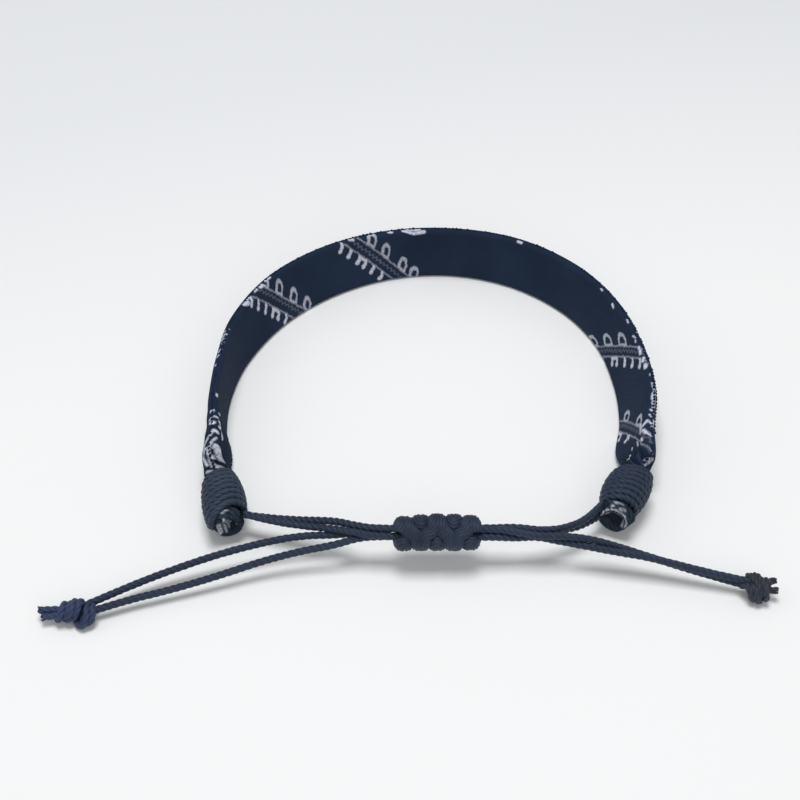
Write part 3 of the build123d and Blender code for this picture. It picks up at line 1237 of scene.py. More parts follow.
    def build_whipping(self) -> bpy.types.NodeTree:
        """The tree that winds slanted turns of twisted cord round a barrel along local X.

        Returns:
            The tree.
        """
        maker, size = new_geometry_tree("whipping_turns", self.WHIPPING_INPUTS + self.PLY_INPUTS)
        line = maker.out("GeometryNodeCurvePrimitiveLine", 0, {"End": (1.0, 0.0, 0.0)})
        even = maker.out("GeometryNodeResampleCurve", 0, {"Curve": line, "Count": size["Samples"]})
        share = maker.out("GeometryNodeSplineParameter", "Factor")
        angle = share * size["Turns"] * (2 * pi)
        centred = share * 2.0 - 1.0
        drop = size["Middle Radius"] - size["End Radius"]
        barrel = size["Middle Radius"] - drop * (centred * centred)
        radius = barrel + centred * size["Taper"]
        side = radius * angle.cosine()
        half = size["Turns"] * size["Pitch"] * 0.5
        slope = size["Slant"] + centred * size["Fan"]
        swing = side + size["Bend"] * (side * side / radius - side)
        place = maker.joined(centred * half - swing * slope, side, radius * angle.sine())
        helix = maker.out("GeometryNodeSetPosition", 0, {"Geometry": even, "Position": place})
        return finished_tree(self.laid(helix, size), size["Material"])

    def build_frayed_end(self) -> bpy.types.NodeTree:
        """The tree that grows a tuft of loose fibres along local X.

        Returns:
            The tree.
        """
        maker, size = new_geometry_tree("frayed_end", self.FRAYED_END_INPUTS)
        seed = size["Seed"]
        turn = self.random(seed, 1, 0.0, 2 * pi)
        reach = size["Tuft Radius"] * self.random(seed, 2, 0.0, 1.0).root()
        place = maker.joined(y=reach * turn.cosine(), z=reach * turn.sine())
        roots = maker.out("GeometryNodeMeshLine", 0, {"Count": size["Count"], "Offset": (0.0, 0.0, 0.0)})
        line = maker.out("GeometryNodeCurvePrimitiveLine", 0, {"End": (1.0, 0.0, 0.0)})
        length = maker.joined(size["Fibre Length"], 1.0, 1.0)
        ring = {"Resolution": self.FIBRE_SIDES, "Radius": size["Fibre Radius"]}
        fibre = {
            "Curve": maker.out("GeometryNodeTransform", 0, {"Geometry": line, "Scale": length}),
            "Profile Curve": maker.out("GeometryNodeCurvePrimitiveCircle", 0, ring),
            "Fill Caps": True,
        }
        half = size["Spread"] * 0.5
        tuft = {
            "Points": maker.out("GeometryNodeSetPosition", 0, {"Geometry": roots, "Position": place}),
            "Instance": maker.out("GeometryNodeCurveToMesh", 0, fibre),
            "Rotation": maker.joined(
                y=self.random(seed, 3, -1.0, 1.0) * half, z=self.random(seed, 4, -1.0, 1.0) * half
            ),
            "Scale": maker.joined(self.random(seed, 5, 0.5, 1.25), 1.0, 1.0),
        }
        return finished_tree(maker.out("GeometryNodeInstanceOnPoints", 0, tuft), size["Material"])

    def build_fold_threads(self) -> bpy.types.NodeTree:
        """The tree that sets small raised threads in a row along a carrier's edges.

        Returns:
            The tree.
        """
        maker, size = new_geometry_tree("fold_threads", self.FOLD_THREAD_INPUTS)
        seed = size["Seed"]
        curve = maker.out("GeometryNodeMeshToCurve", 0, {"Mesh": size["Geometry"]})
        spacing = {"Curve": curve, "Length": size["Spacing"]}
        spots = maker.outs("GeometryNodeCurveToPoints", spacing, mode="LENGTH")
        lift = maker.joined(z=size["Scatter"] * self.random(seed, 1, -1.0, 0.6))
        lean = maker.joined(self.random(seed, 2, -0.5, 0.5), size["Slant"])
        turn = {
            "Rotation": spots["Rotation"],
            "Rotate By": maker.out("FunctionNodeEulerToRotation", 0, {"Euler": lean}),
        }
        girth = size["Thread Radius"] * self.random(seed, 3, 0.75, 1.25)
        row = {
            "Points": maker.out("GeometryNodeSetPosition", 0, {"Geometry": spots["Points"], "Offset": lift}),
            "Instance": maker.out("GeometryNodeMeshUVSphere", "Mesh", self.THREAD_GRAIN),
            "Rotation": maker.out("FunctionNodeRotateRotation", 0, turn, rotation_space="LOCAL"),
            "Scale": maker.joined(girth, girth, size["Thread Length"] * 0.5),
        }
        threads = maker.out("GeometryNodeInstanceOnPoints", 0, row)
        return finished_tree(maker.out("GeometryNodeSetShadeSmooth", 0, {0: threads}), size["Material"])


@dataclass
class SlidingCord:
    """One cord from a whipping through the sliding knot to an end knot."""

    name: str
    length: float
    route: tuple[Point, ...]
    seed: float
    diameter: float = 1.0 * MM
    lay: float = 2.9 * MM
    laid_diameter: float = 1.14 * MM
    ply_diameter: float = 0.68 * MM

    def build(self, trees: TwistedCordTrees, material: bpy.types.Material) -> bpy.types.Object:
        """Args:
            trees: The geometry trees.
            material: The cord's finish.

        Returns:
            The finished cord.
        """
        path = spline_points(self.name + "_line", self.route)
        piece = polyline(self.name + "_plies", [path])
        values = {
            "Lay": self.lay,
            "Cord Diameter": self.laid_diameter,
            "Ply Diameter": self.ply_diameter,
            "Seed": self.seed,
            "Material": material,
        }
        grown(piece, trees.along_path, values)
        dress(piece, Slot.WAXED_CORD, self.name)
        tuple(self.route[0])
        [tuple(point) for point in path]
        return piece


SLIDING_CORDS = (
    SlidingCord(
        "left_cord_1",
        0.0751,
        (
            (-0.02791, -0.02842, 0.00375),
            (-0.02438, -0.02942, 0.00415),
            (-0.01918, -0.03048, 0.0049),
            (-0.01448, -0.03159, 0.0061),
            (-0.0113, -0.0334, 0.0071),
            (-0.0082, -0.03415, 0.0073),
            (0.0086, -0.03415, 0.0073),
            (0.0114, -0.03465, 0.0072),
            (0.0144, -0.03495, 0.0067),
            (0.0179, -0.0349, 0.0066),
            (0.0215, -0.0348, 0.006),
            (0.0257, -0.0352, 0.0048),
            (0.0303, -0.0362, 0.0037),
            (0.0361, -0.0377, 0.0026),
            (0.0411, -0.03905, 0.00195),
            (0.0447, -0.0401, 0.0016),
        ),
        seed=1.0,
    ),
    SlidingCord(
        "left_cord_2",
        0.0745,
        (
            (-0.0279, -0.02905, 0.00465),
            (-0.02428, -0.03039, 0.00475),
            (-0.01912, -0.03171, 0.00505),
            (-0.01443, -0.033, 0.00595),
            (-0.0113, -0.0345, 0.00698),
            (-0.0082, -0.03495, 0.0065),
            (0.0086, -0.03495, 0.0065),
            (0.0114, -0.0347, 0.0059),
            (0.0144, -0.0342, 0.0057),
            (0.0179, -0.0349, 0.0054),
            (0.0215, -0.0355, 0.0051),
            (0.0257, -0.03635, 0.0048),
            (0.0303, -0.03705, 0.0045),
            (0.0361, -0.0382, 0.00355),
            (0.0411, -0.0393, 0.00295),
            (0.0447, -0.04, 0.00265),
        ),
        seed=2.0,
    ),
    SlidingCord(
        "right_cord_1",
        0.0791,
        (
            (0.02467, -0.02745, 0.0052),
            (0.02229, -0.03057, 0.0054),
            (0.01902, -0.03286, 0.00605),
            (0.01544, -0.03412, 0.0068),
            (0.0114, -0.0336, 0.00705),
            (0.0086, -0.03335, 0.0065),
            (-0.0082, -0.03335, 0.0065),
            (-0.0113, -0.03365, 0.00585),
            (-0.01446, -0.0332, 0.0048),
            (-0.01907, -0.03318, 0.00465),
            (-0.02408, -0.03405, 0.0044),
            (-0.03119, -0.03578, 0.0036),
            (-0.03846, -0.0383, 0.0027),
            (-0.04379, -0.04066, 0.0022),
            (-0.0495, -0.0439, 0.0021),
        ),
        seed=3.0,
    ),
    SlidingCord(
        "right_cord_2",
        0.0782,
        (
            (0.02485, -0.0276, 0.00315),
            (0.02257, -0.03023, 0.00415),
            (0.0191, -0.03235, 0.00485),
            (0.0148, -0.0332, 0.006),
            (0.0114, -0.0336, 0.0059),
            (0.0086, -0.03415, 0.0057),
            (-0.0082, -0.03415, 0.0057),
            (-0.0113, -0.0346, 0.0058),
            (-0.01439, -0.03522, 0.005),
            (-0.01897, -0.0357, 0.0043),
            (-0.02454, -0.03675, 0.0034),
            (-0.03142, -0.03912, 0.0026),
            (-0.03823, -0.04119, 0.00205),
            (-0.04357, -0.0427, 0.0019),
            (-0.0493, -0.04495, 0.00175),
        ),
        seed=4.0,
    ),
)


@dataclass(frozen=True)
class Stem:
    """Where a gathered end of the band lies inside its whipping, and how wide its tip spreads."""

    end: End
    centre: Point
    heading: float
    lean: float
    tip_flare: float


LEFT_STEM = Stem(End.LEFT, (-0.0313, -0.0256, 0.0045), 104.0, 12.0, 1.18)
RIGHT_STEM = Stem(End.RIGHT, (0.0283, -0.0247, 0.0046), -114.0, 29.0, 1.38)


@dataclass
class Whipping:
    """Close turns of cord round one gathered end of the band."""

    name: str
    stem: Stem
    slant: float
    fan: float
    taper: float
    shift: float
    pitch: float
    bend: float = 0.0
    turns: int = 8
    crest_radius: float = 3.35 * MM
    crest_end_radius: float = 2.8 * MM
    cord_diameter: float = 1.04 * MM
    ply_diameter: float = 0.64 * MM
    seed: float = 11.0

    def build(self, trees: TwistedCordTrees, material: bpy.types.Material) -> bpy.types.Object:
        """Winds the turns and places them on the band's end.

        Args:
            trees: The geometry trees.
            material: The cord's finish.

        Returns:
            The finished whipping.
        """
        piece = polyline(self.name + "_turns", [])
        values = {
            "Turns": float(self.turns),
            "Pitch": self.pitch,
            "Middle Radius": self.crest_radius - self.cord_diameter / 2,
            "End Radius": self.crest_end_radius - self.cord_diameter / 2,
            "Slant": tan(radians(self.slant)),
            "Fan": self.fan,
            "Taper": self.taper,
            "Bend": self.bend,
            "Cord Diameter": self.cord_diameter,
            "Ply Diameter": self.ply_diameter,
            "Seed": self.seed,
            "Material": material,
        }
        grown(piece, trees.whipping, values)
        axis = level_direction(self.stem.heading)
        side = level_direction(self.stem.heading + 90)
        turned = Matrix((axis, side, UP)).transposed().to_4x4()
        piece.data.transform(Matrix.Translation(Vector(self.stem.centre) + axis * self.shift) @ turned)
        return dress(piece, Slot.WAXED_CORD, self.name)


@dataclass
class SlidingKnot:
    """Two thick laid strands knotted over and under the four cords, leaning back from upright."""

    centre: Point = (0.0002, -0.03415, 0.0065)
    lean: float = 45.0
    pitch: float = 2.36 * MM
    strand_diameter: float = 2.35 * MM
    ply_diameter: float = 0.68 * MM
    plies: int = 12
    lay: float = 13.0 * MM
    step: float = 0.18 * MM
    front: float = 1.15 * MM
    side_reach: float = 1.5 * MM
    seed: float = 21.0

    # how far each half knot's bumps stand out above and below, as shares of the side reach
    BUMPS = ((0.78, 0.98), (0.92, 0.95), (1.02, 0.95), (0.98, 0.97), (0.88, 0.9))

    # along, across and out of the plane, as shares of the pitch, the side reach and the front's height
    TURN = (
        (-0.3, 0.15, 1.0),
        (-0.2, 0.75, 0.95),
        (-0.14, 1.15, 0.1),
        (-0.05, 0.8, -0.75),
        (0.05, 0.8, -0.75),
        (0.14, 1.15, 0.1),
        (0.2, 0.75, 0.95),
        (0.3, 0.15, 1.0),
    )

    def strand(self, face: int) -> list[Point]:
        """The control points of one strand in the knot's own plane.

        Args:
            face: 1 for the strand that crosses in front, -1 for the one behind.

        Returns:
            Points along, across and out of the plane.
        """
        points = []
        for lobe, (above, below) in enumerate(self.BUMPS):
            middle = (lobe - (len(self.BUMPS) - 1) / 2) * self.pitch
            side = face if lobe % 2 == 0 else -face
            reach = (above if side > 0 else below) * self.side_reach
            points += [
                (middle + along * self.pitch, side * across * reach, face * out * self.front)
                for along, across, out in self.TURN
            ]
        return points

    def build(self, trees: TwistedCordTrees, material: bpy.types.Material) -> bpy.types.Object:
        """Lays the two strands of the knot.

        Args:
            trees: The geometry trees.
            material: The cord's finish.

        Returns:
            The finished knot.
        """
        tilt = Matrix.Translation(Vector(self.centre)) @ Matrix.Rotation(radians(self.lean), 4, "X")
        runs = [
            spline_points("strand_line", [tilt @ Vector(point) for point in self.strand(face)])
            for face in (1, -1)
        ]
        piece = polyline("sliding_knot_strands", runs)
        values = {
            "Plies": self.plies,
            "Lay": self.lay,
            "Cord Diameter": self.strand_diameter,
            "Ply Diameter": self.ply_diameter,
            "Step": self.step,
            "Seed": self.seed,
            "Material": material,
        }
        grown(piece, trees.along_path, values)
        return dress(piece, Slot.WAXED_CORD, "sliding_knot")


@dataclass
class EndKnot:
    """An overhand knot on a pair of tails, with its cut and frayed ends.

    The loops are in mm along the tail, across it and up. Each cut end has its length, its places across
    and up in mm, and its turn in degrees.
    """

    name: str
    centre: Point
    heading: float
    loops: tuple[Point, ...]
    cut_ends: tuple[tuple[float, float, float, float], ...]
    slant: float
    seed: int
    strand_diameter: float = 1.06 * MM
    pair_shift: float = 0.46
    pair_spread: float = 0.1
    pair_along: float = 0.9
    end_start: float = 1.3
    end_middle: float = 0.6
    fibre_depth: float = 0.25

    def strands(self) -> list[tuple[list[Vector], Vector]]:
        """The two strands' routes.

        Returns:
            The control points of each strand, with the direction of its cut end.
        """
        centre = Vector(self.centre)
        tail = level_direction(self.heading)
        side = level_direction(self.heading + 90)
        found = []
        pair = (self.pair_shift, -self.pair_shift)
        for shift, (length, sideways, height, turn) in zip(pair, self.cut_ends):
            spread = 1 + self.pair_spread * shift
            controls = []
            for along, across, rise in self.loops:
                ahead = along + self.slant * (across - rise) + shift * self.pair_along
                controls.append(centre + (tail * ahead + side * across * spread + UP * rise * spread) * MM)
            root = centre + (side * sideways + UP * height) * MM
            facing = level_direction(self.heading + turn)
            reaches = (self.end_start, length * self.end_middle, length)
            controls += [root + facing * reach * MM for reach in reaches]
            found.append((controls, facing))
        return found

    def build(self, trees: TwistedCordTrees, material: bpy.types.Material) -> bpy.types.Object:
        """Ties the knot's two strands and frays their cut ends.

        Args:
            trees: The geometry trees.
            material: The cord's finish.

        Returns:
            The finished knot.
        """
        strands = self.strands()
        runs = [spline_points("strand_line", route) for route, _ in strands]
        piece = polyline(self.name + "_strands", runs)
        values = {"Cord Diameter": self.strand_diameter, "Seed": float(self.seed), "Material": material}
        grown(piece, trees.along_path, values)
        dress(piece, Slot.WAXED_CORD, self.name)
        for index, (route, facing) in enumerate(strands):
            tuft = polyline(f"{self.name}_fibres_{index + 1}", [])
            grown(tuft, trees.frayed_end, {"Seed": self.seed + index, "Material": material})
            turned = facing.to_track_quat("X", "Z").to_matrix().to_4x4()
            tuft.data.transform(Matrix.Translation(route[-1] - facing * self.fibre_depth * MM) @ turned)
            dress(tuft, Slot.WAXED_CORD)
        return piece


LEFT_KNOT_LOOPS = (
    # along the tail, across it and up, in mm
    (-2.9, 0.0, 0.3),
    (-2.9, 0.9, 0.6),
    (-3.1, 1.9, -0.1),
    (-2.6, 2.3, -0.9),
    (-1.8, 1.4, -1.2),
    (-1.3, -0.2, -1.1),
    (-1.1, -1.2, -0.2),
    (-1.0, -0.9, 0.9),
    (-0.8, 0.4, 1.3),
    (-0.6, 1.2, 0.4),
    (-0.3, 1.0, -0.8),
    (0.0, -0.3, -1.2),
    (0.2, -1.2, -0.3),
    (0.4, -0.8, 0.8),
    (0.6, 0.3, 1.15),
    (0.8, 1.0, 0.3),
    (1.0, 0.7, -0.8),
    (1.1, -0.3, -0.9),
    (1.2, -0.4, -0.1),
)
RIGHT_KNOT_LOOPS = (
    # along the tail, across it and up, in mm
    (-2.2, 0.0, 0.0),
    (-1.7, -0.3, 0.9),
    (-1.3, -1.1, 0.6),
    (-0.9, -1.6, -0.3),
    (-0.3, -1.6, -1.0),
    (-0.3, -0.3, -1.2),
    (-0.9, 1.1, -0.6),
    (-1.2, 1.8, 0.5),
    (-0.9, 1.0, 1.3),
    (-0.2, -0.4, 1.2),
    (0.1, -1.1, 0.6),
    (0.5, -1.2, -0.4),
    (0.5, -0.7, -1.0),
    (0.1, 0.5, -1.0),
    (0.1, 1.4, 0.0),
    (0.3, 1.1, 0.8),
    (0.7, 0.2, 0.6),
)


@dataclass
class ClothSection:
    """One section of the folded cloth: where it stands, how it leans, and its sizes in metres."""

    centre: Vector
    heading: float
    lean: float
    width: float
    thickness: float
    fold: float
    slant: float = 0.0

    def axes(self) -> tuple[Vector, Vector]:
        """The section's own directions.

        Returns:
            The way up the cloth, and the way to the inside of the loop.
        """
        outwards = level_direction(self.heading + 90)
        up = outwards * sin(radians(self.lean)) + UP * cos(radians(self.lean))
        return up, level_direction(self.heading).cross(up)


class ClothSkin:
    """The points, faces and map of the cloth while it is skinned."""

    def __init__(self) -> None:
        """Starts with no point."""
        self.points: list[Vector] = []
        self.faces: list[tuple[int, ...]] = []
        self.corners: list[Sequence[float]] = []

    def add_face(self, face: Sequence[int], spots: Sequence[Sequence[float]]) -> None:
        """Adds one face, with its corners' places on the map."""
        self.faces.append(tuple(face))
        self.corners.extend(spots)

    def build(self, name: str, material: bpy.types.Material) -> bpy.types.Object:
        """Makes the mesh with its map.

        Args:
            name: The object's name.
            material: The cloth's finish.

        Returns:
            The object.
        """
        mesh = bpy.data.meshes.new(name)
        mesh.from_pydata(self.points, [], self.faces)
        cloth_map = mesh.uv_layers.new(name=CLOTH_MAP)
        for loop, spot in zip(cloth_map.data, self.corners):
            loop.uv = spot
        mesh.materials.append(material)
        for polygon in mesh.polygons:
            polygon.use_smooth = True
        return new_object(name, mesh)


@dataclass
class PrintedBand:
    """The folded cloth strip, gathered into a round stem and a rolled tip at each end."""

    plan_start: tuple[float, float] = (-0.0312, -0.0176)
    plan_heading: float = 109.0
    edge_share: float = 0.26
    rings_per_mm: float = 5.0
    edge_steps: int = 7
    flat_steps: int = 36
    fold_waves: int = 5
    fold_slant_length: float = 14.0 * MM
    map_quarter: float = 1.18 * MM
    map_face: float = 8.5 * MM
    tip_from: float = 4.0
    thread_sink: float = 0.1 * MM
    flat_size: tuple[float, float] = (0.0108, 0.146)

    PLAN_ARCS = (
        # radius, turn in degrees
        (0.0365, 91.0),
        (0.02905, 95.6),
        (0.0479, 29.8),
    )
    OPEN_ROWS = (
        # along the plan in mm, outward lean in degrees, lift, width, thickness and fold in mm
        (3.5, 9.0, 0.0, 9.3, 2.1, 0.14),
        (9.0, 4.0, 0.0, 10.0, 1.5, 0.03),
        (17.0, 2.5, 0.0, 10.0, 1.5, 0.03),
        (26.0, 8.0, 0.0, 10.0, 1.5, 0.03),
        (37.0, 12.0, 0.0, 10.0, 1.5, 0.03),
        (48.0, 9.5, 0.0, 10.0, 1.5, 0.03),
        (59.0, 4.0, 0.0, 10.0, 1.5, 0.03),
        (70.0, 1.5, 0.0, 10.0, 1.5, 0.03),
        (81.0, 5.0, 0.0, 10.0, 1.5, 0.03),
        (92.0, 8.2, 0.0, 10.0, 1.5, 0.03),
        (102.0, 11.7, 0.0, 10.0, 1.5, 0.03),
        (112.0, 17.3, 0.0, 10.0, 1.5, 0.03),
        (121.0, 23.5, 0.0, 10.0, 1.5, 0.03),
        (128.0, 27.0, 0.12, 9.3, 1.9, 0.1),
    )
    END_ROWS = (
        # ahead of the whipping's middle, drop, width, thickness and fold in mm
        (-6.4, 0.0, 6.9, 2.7, 0.16),
        (-4.7, 0.0, 4.2, 3.4, 0.14),
        (0.0, 0.0, 4.1, 3.4, 0.25),
        (4.0, 0.1, 4.1, 3.4, 0.2),
        (4.6, 0.3, 4.2, 3.6, 0.12),
        (5.3, 0.55, 3.5, 2.9, 0.08),
    )
    TIP_PROFILE = (
        # share of the section, distance ahead of it in mm
        (0.99, 0.14),
        (0.95, 0.24),
        (0.89, 0.28),
        (0.83, 0.24),
        (0.78, 0.1),
        (0.74, 0.08),
        (0.7, 0.16),
        (0.65, 0.14),
        (0.6, -0.1),
        (0.55, -0.6),
        (0.4, -1.0),
    )
    THREAD_ROWS = (
        # upper or lower edge, inset in mm, side, from and to along the cloth in mm
        (1, 0.02, 0, 6.0, 155.0),
        (1, 0.55, -1, 108.0, 144.0),
        (-1, 0.6, 1, 9.0, 21.0),
    )

    def plan_point(self, along: float) -> tuple[Vector, float]:
        """The foot of the lower edge at a distance along the tangent arcs.

        Args:
            along: The distance in metres.

        Returns:
            The foot and the heading there.
        """
        point = Vector((*self.plan_start, 0.0))
        heading = self.plan_heading
        for radius, turn in self.PLAN_ARCS:
            step = min(along, radians(turn) * radius)
            side = level_direction(heading - 90)
            heading -= step / radius * 180 / pi
            point += (side - level_direction(heading - 90)) * radius
            along -= step
        return point, heading

    def end_sections(self, stem: Stem) -> list[ClothSection]:
        """The sections of one gathered end, towards its tip.

        Args:
            stem: Where the end lies in its whipping.

        Returns:
            The sections in order.
        """
        towards_tip = level_direction(stem.heading) * stem.end.value
        sections = []
        for ahead, drop, width, thickness, fold in self.END_ROWS:
            flare = MM * (stem.tip_flare if ahead > self.tip_from else 1.0)
            centre = Vector(stem.centre) + (towards_tip * ahead - UP * drop) * MM
            sections.append(
                ClothSection(centre, stem.heading, stem.lean, width * flare, thickness * flare, fold * MM)
            )
        return sections

    def sections(self) -> list[ClothSection]:
        """The named sections from the left tip round the back to the right tip.

        Returns:
            The sections in order.
        """
        middle = []
        for along, lean, lift, width, thickness, fold in self.OPEN_ROWS:
            foot, heading = self.plan_point(along * MM)
            reach = (width - thickness) / 2 * MM
            rise = lift * MM + thickness / 2 * MM + reach * cos(radians(lean))
            centre = foot + level_direction(heading + 90) * reach * sin(radians(lean)) + UP * rise
            middle.append(ClothSection(centre, heading, lean, width * MM, thickness * MM, fold * MM))
        return self.end_sections(LEFT_STEM)[::-1] + middle + self.end_sections(RIGHT_STEM)

    def smooth_sections(self) -> list[tuple[float, ClothSection]]:
        """The sections at every ring, on smooth cubic curves through the named ones.

        Returns:
            Each ring's distance along the cloth and its section.
        """
        rows = self.sections()
        last = len(rows) - 1
        stations = [0.0]
        for before, after in zip(rows[:-1], rows[1:]):
            stations.append(stations[-1] + (after.centre - before.centre).length)
        table = [(*row.centre, row.heading, row.lean, row.width, row.thickness, row.fold) for row in rows]
        slopes = []
        for index in range(len(rows)):
            low, high = max(index - 1, 0), min(index + 1, last)
            run = stations[high] - stations[low]
            slopes.append([(b - a) / run for a, b in zip(table[low], table[high])])
        count = round(stations[-1] / MM * self.rings_per_mm)
        rings = []
        span = 0
        for ring in range(count + 1):
            along = stations[-1] * ring / count
            while span < last - 1 and along > stations[span + 1]:
                span += 1
            run = stations[span + 1] - stations[span]
            t = (along - stations[span]) / run
            mixed = [
                (2 * t**3 - 3 * t**2 + 1) * a
                + (t**3 - 2 * t**2 + t) * run * m
                + (3 * t**2 - 2 * t**3) * b
                + (t**3 - t**2) * run * n
                for a, m, b, n in zip(table[span], slopes[span], table[span + 1], slopes[span + 1])
            ]
            section = ClothSection(Vector(mixed[:3]), *mixed[3:], slant=along / self.fold_slant_length)
            rings.append((along, section))
        return rings

    def outline(self, row: ClothSection) -> list[Point]:
        """The points round one section.

        Args:
            row: The section.

        Returns:
            Each point's height, depth towards the inside and place round the cloth, in metres.
        """
        half = row.thickness / 2
        edge = min(half, row.width * self.edge_share)
        flat = row.width / 2 - edge
        quarter, face = self.map_quarter, self.map_face
        inner = []
        for step in range(self.edge_steps):
            share = step / self.edge_steps
            turn = pi / 2 * share
            inner.append((flat + edge * cos(turn), half * sin(turn), quarter * share))
        for step in range(self.flat_steps + 1):
            share = step / self.flat_steps
            crest = row.fold * abs(sin(self.fold_waves * pi * (share + row.slant)))
            inner.append((flat - 2 * flat * share, half + crest, quarter + face * share))
        for step in range(1, self.edge_steps + 1):
            share = step / self.edge_steps
            turn = pi / 2 * share
            inner.append((-flat - edge * sin(turn), half * cos(turn), quarter + face + quarter * share))
        outer = [(height, -depth, -around) for height, depth, around in inner[1:-1]]
        return inner + outer[::-1]

    def build(self, material: bpy.types.Material) -> bpy.types.Object:
        """Args:
            material: The cloth's finish.

        Returns:
            The finished band.
        """
        rings = self.smooth_sections()
        skin = ClothSkin()
        places = []
        for along, row in rings:
            up, inwards = row.axes()
            for height, depth, around in self.outline(row):
                skin.points.append(row.centre + up * height + inwards * depth)
                places.append((along, around))
        size = len(places) // len(rings)
        girth = 2 * (self.map_face + 2 * self.map_quarter)
        for first in range(0, len(places) - size, size):
            for step in range(size):
                after = (step + 1) % size
                quad = (first + step, first + size + step, first + size + after, first + after)
                spots = [list(places[corner]) for corner in quad]
                arounds = [around for _, around in spots]
                if max(arounds) - min(arounds) > girth / 2:
                    for spot in spots:
                        spot[1] += girth if spot[1] < 0 else 0.0
                skin.add_face(quad, spots)
        self.roll_tip(skin, End.LEFT, rings[0][1], rings[1][1], range(size))
        self.roll_tip(skin, End.RIGHT, rings[-1][1], rings[-2][1], range(len(places) - size, len(places)))
        piece = skin.build("printed_band", material)
        dress(piece, Slot.PRINTED_COTTON, "band")
        return piece

    def roll_tip(
        self, skin: ClothSkin, end: End, row: ClothSection, before: ClothSection, rim: Sequence[int]
    ) -> None:
        """Closes one end with a rolled lip and a hollow eye.

        Args:
            skin: The cloth, which the tip is added to.
            end: Which end it is.
            row: The end's last section.
            before: The section next to it.
            rim: The numbers of the last section's points.
        """
        ahead_by = (row.centre - before.centre).normalized()
        across = UP.cross(ahead_by).normalized()
        shift = end.value * TIP_MAP_SHIFT * MM

        def add_face(face: Sequence[int]) -> None:
            """Adds one face of the tip, mapped on the tip's own plane."""
            spokes = [skin.points[corner] - row.centre for corner in face]
            skin.add_face(face, [(shift + spoke.dot(across), spoke.z) for spoke in spokes])

        size = len(rim)
        previous = rim
        for share, ahead in self.TIP_PROFILE:
            start = len(skin.points)
            spokes = [skin.points[corner] - row.centre for corner in rim]
            skin.points += [row.centre + spoke * share + ahead_by * ahead * MM for spoke in spokes]
            for step in range(size):
                after = (step + 1) % size
                quad = (previous[step], start + step, start + after, previous[after])
                add_face(quad[:: end.value])
            previous = range(start, start + size)
        add_face(previous[:: -end.value])

    def add_fold_threads(self, trees: TwistedCordTrees, material: bpy.types.Material) -> bpy.types.Object:
        """Sets the raised threads of the weave along the folds.

        Args:
            trees: The geometry trees.
            material: The threads' finish.

        Returns:
            The finished threads.
        """
        runs = []
        for edge, inset, side, first, last in self.THREAD_ROWS:
            line = []
            for along, row in self.smooth_sections():
                if first * MM < along < last * MM:
                    up, inwards = row.axes()
                    aside = inwards * side * (row.thickness / 2 - self.thread_sink)
                    line.append(row.centre + up * (edge * (row.width / 2 - inset * MM)) + aside)
            runs.append(line)
        piece = polyline("fold_threads", runs)
        grown(piece, trees.fold_threads, {"Material": material})
        return dress(piece, Slot.PRINTED_COTTON)


@dataclass
class Studio:
    """The pale floor, the soft lights and the camera."""

    lens: float = 68.31
    sensor: float = 36.0
    nearest_seen: float = 0.01
    eye: Point = (-0.0051, -0.174, 0.1731)
    tilt: float = 45.0
    floor_half: float = 1.5
    floor_drop: float = 0.02 * MM
    sky: Colour = (0.97, 0.985, 1.0, 1.0)
    sky_strength: float = 0.34

    LIGHTS = (
        # name, place, turn about X and Y in degrees, side, power
        ("top_light", (-0.02, -0.006, 0.62), (0.0, -2.0), 0.24, 2.15),
        ("left_light", (-0.42, 0.0, 0.30), (0.0, -54.0), 0.35, 0.12),
        ("front_light", (0.1, -0.40, 0.34), (50.0, 8.0), 0.4, 0.4),
    )

    def build_camera(self) -> None:
        """Places the camera at the photograph's angle."""
        camera = new_object("camera", bpy.data.cameras.new("camera"))
        camera.data.lens = self.lens
        camera.data.sensor_width = self.sensor
        camera.data.clip_start = self.nearest_seen
        camera.location = self.eye
        camera.rotation_euler = (radians(self.tilt), 0.0, 0.0)
        bpy.context.scene.camera = camera

    def build_room(self, material: bpy.types.Material) -> None:
        """Lays the floor, hangs the lights and sets the sky.

        Args:
            material: The floor's finish.
        """
        half = self.floor_half
        mesh = bpy.data.meshes.new("floor")
        corners = [(-half, -half, 0), (half, -half, 0), (half, half, 0), (-half, half, 0)]
        mesh.from_pydata(corners, [], [(0, 1, 2, 3)])
        mesh.materials.append(material)
        floor = new_object("floor", mesh)
        floor.location.z = -self.floor_drop
        for name, place, (turn_x, turn_y), side, power in self.LIGHTS:
            lamp = bpy.data.lights.new(name, "AREA")
            lamp.size = side
            lamp.energy = power
            light = new_object(name, lamp)
            light.location = place
            light.rotation_euler = (radians(turn_x), radians(turn_y), 0.0)
        world = bpy.data.worlds.new("soft_studio")
        world.use_nodes = True
        sky = world.node_tree.nodes["Background"]
        sky.inputs["Color"].default_value = self.sky
        sky.inputs["Strength"].default_value = self.sky_strength
        bpy.context.scene.world = world
        bpy.context.scene.view_settings.view_transform = "Standard"


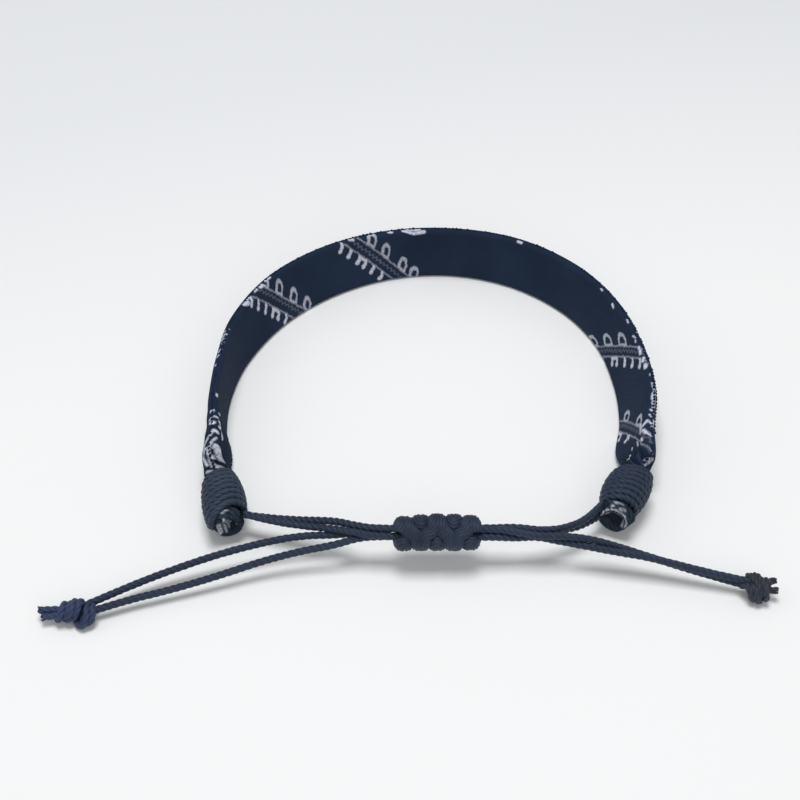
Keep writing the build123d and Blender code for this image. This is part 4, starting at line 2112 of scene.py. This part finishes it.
LEFT_WHIPPING = Whipping(
    "left_wrap",
    LEFT_STEM,
    slant=19.3,
    fan=-0.15,
    taper=-0.3 * MM,
    shift=-0.1 * MM,
    pitch=0.98 * MM,
    bend=0.35,
)
RIGHT_WHIPPING = Whipping(
    "right_wrap",
    RIGHT_STEM,
    slant=11.3,
    fan=-0.1,
    taper=-0.25 * MM,
    shift=0.6 * MM,
    pitch=0.86 * MM,
    crest_radius=3.5 * MM,
    crest_end_radius=2.9 * MM,
    seed=12.0,
)
LEFT_END_KNOT = EndKnot(
    "left_end_knot",
    (-0.0514, -0.0446, 0.0019),
    192.0,
    LEFT_KNOT_LOOPS,
    ((3.9, -0.4, 0.0, -9.0), (3.6, 0.45, -0.3, -7.0)),
    slant=0.22,
    seed=31,
)
RIGHT_END_KNOT = EndKnot(
    "right_end_knot",
    (0.0459, -0.0407, 0.00196),
    -12.0,
    RIGHT_KNOT_LOOPS,
    ((2.0, 0.75, 0.3, 24.0), (2.2, -0.05, 0.0, 4.0)),
    slant=-0.2,
    seed=41,
)
# paler, bluer and greyer copies of the cord's colours, for the left whipping and the two end knots
PALE_CORD = WaxedCordFinish("waxed_cord_pale", tone(58, 77, 102), tone(12, 19, 32))
LIGHT_BLUE_CORD = WaxedCordFinish("waxed_cord_light_blue", tone(66, 82, 120), tone(18, 26, 46))
GREY_CORD = WaxedCordFinish("waxed_cord_grey", tone(62, 68, 84), tone(14, 17, 26))


def main() -> None:
    """Builds every piece in order."""
    logging.basicConfig(level=logging.INFO, format="%(message)s")
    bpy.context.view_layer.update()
    studio = Studio()
    studio.build_camera()
    cord_finish = WaxedCordFinish().build()
    cotton = PrintedCottonFinish().build()
    trees = TwistedCordTrees()
    for cord in SLIDING_CORDS:
        cord.build(trees, cord_finish)
    LEFT_WHIPPING.build(trees, PALE_CORD.build())
    RIGHT_WHIPPING.build(trees, cord_finish)
    SlidingKnot().build(trees, cord_finish)
    LEFT_END_KNOT.build(trees, LIGHT_BLUE_CORD.build())
    RIGHT_END_KNOT.build(trees, GREY_CORD.build())
    band = PrintedBand()
    band.build(cotton)
    band.add_fold_threads(trees, FoldThreadFinish().build())
    studio.build_room(PaleFloorFinish().build())


if __name__ == "__main__":
    main()
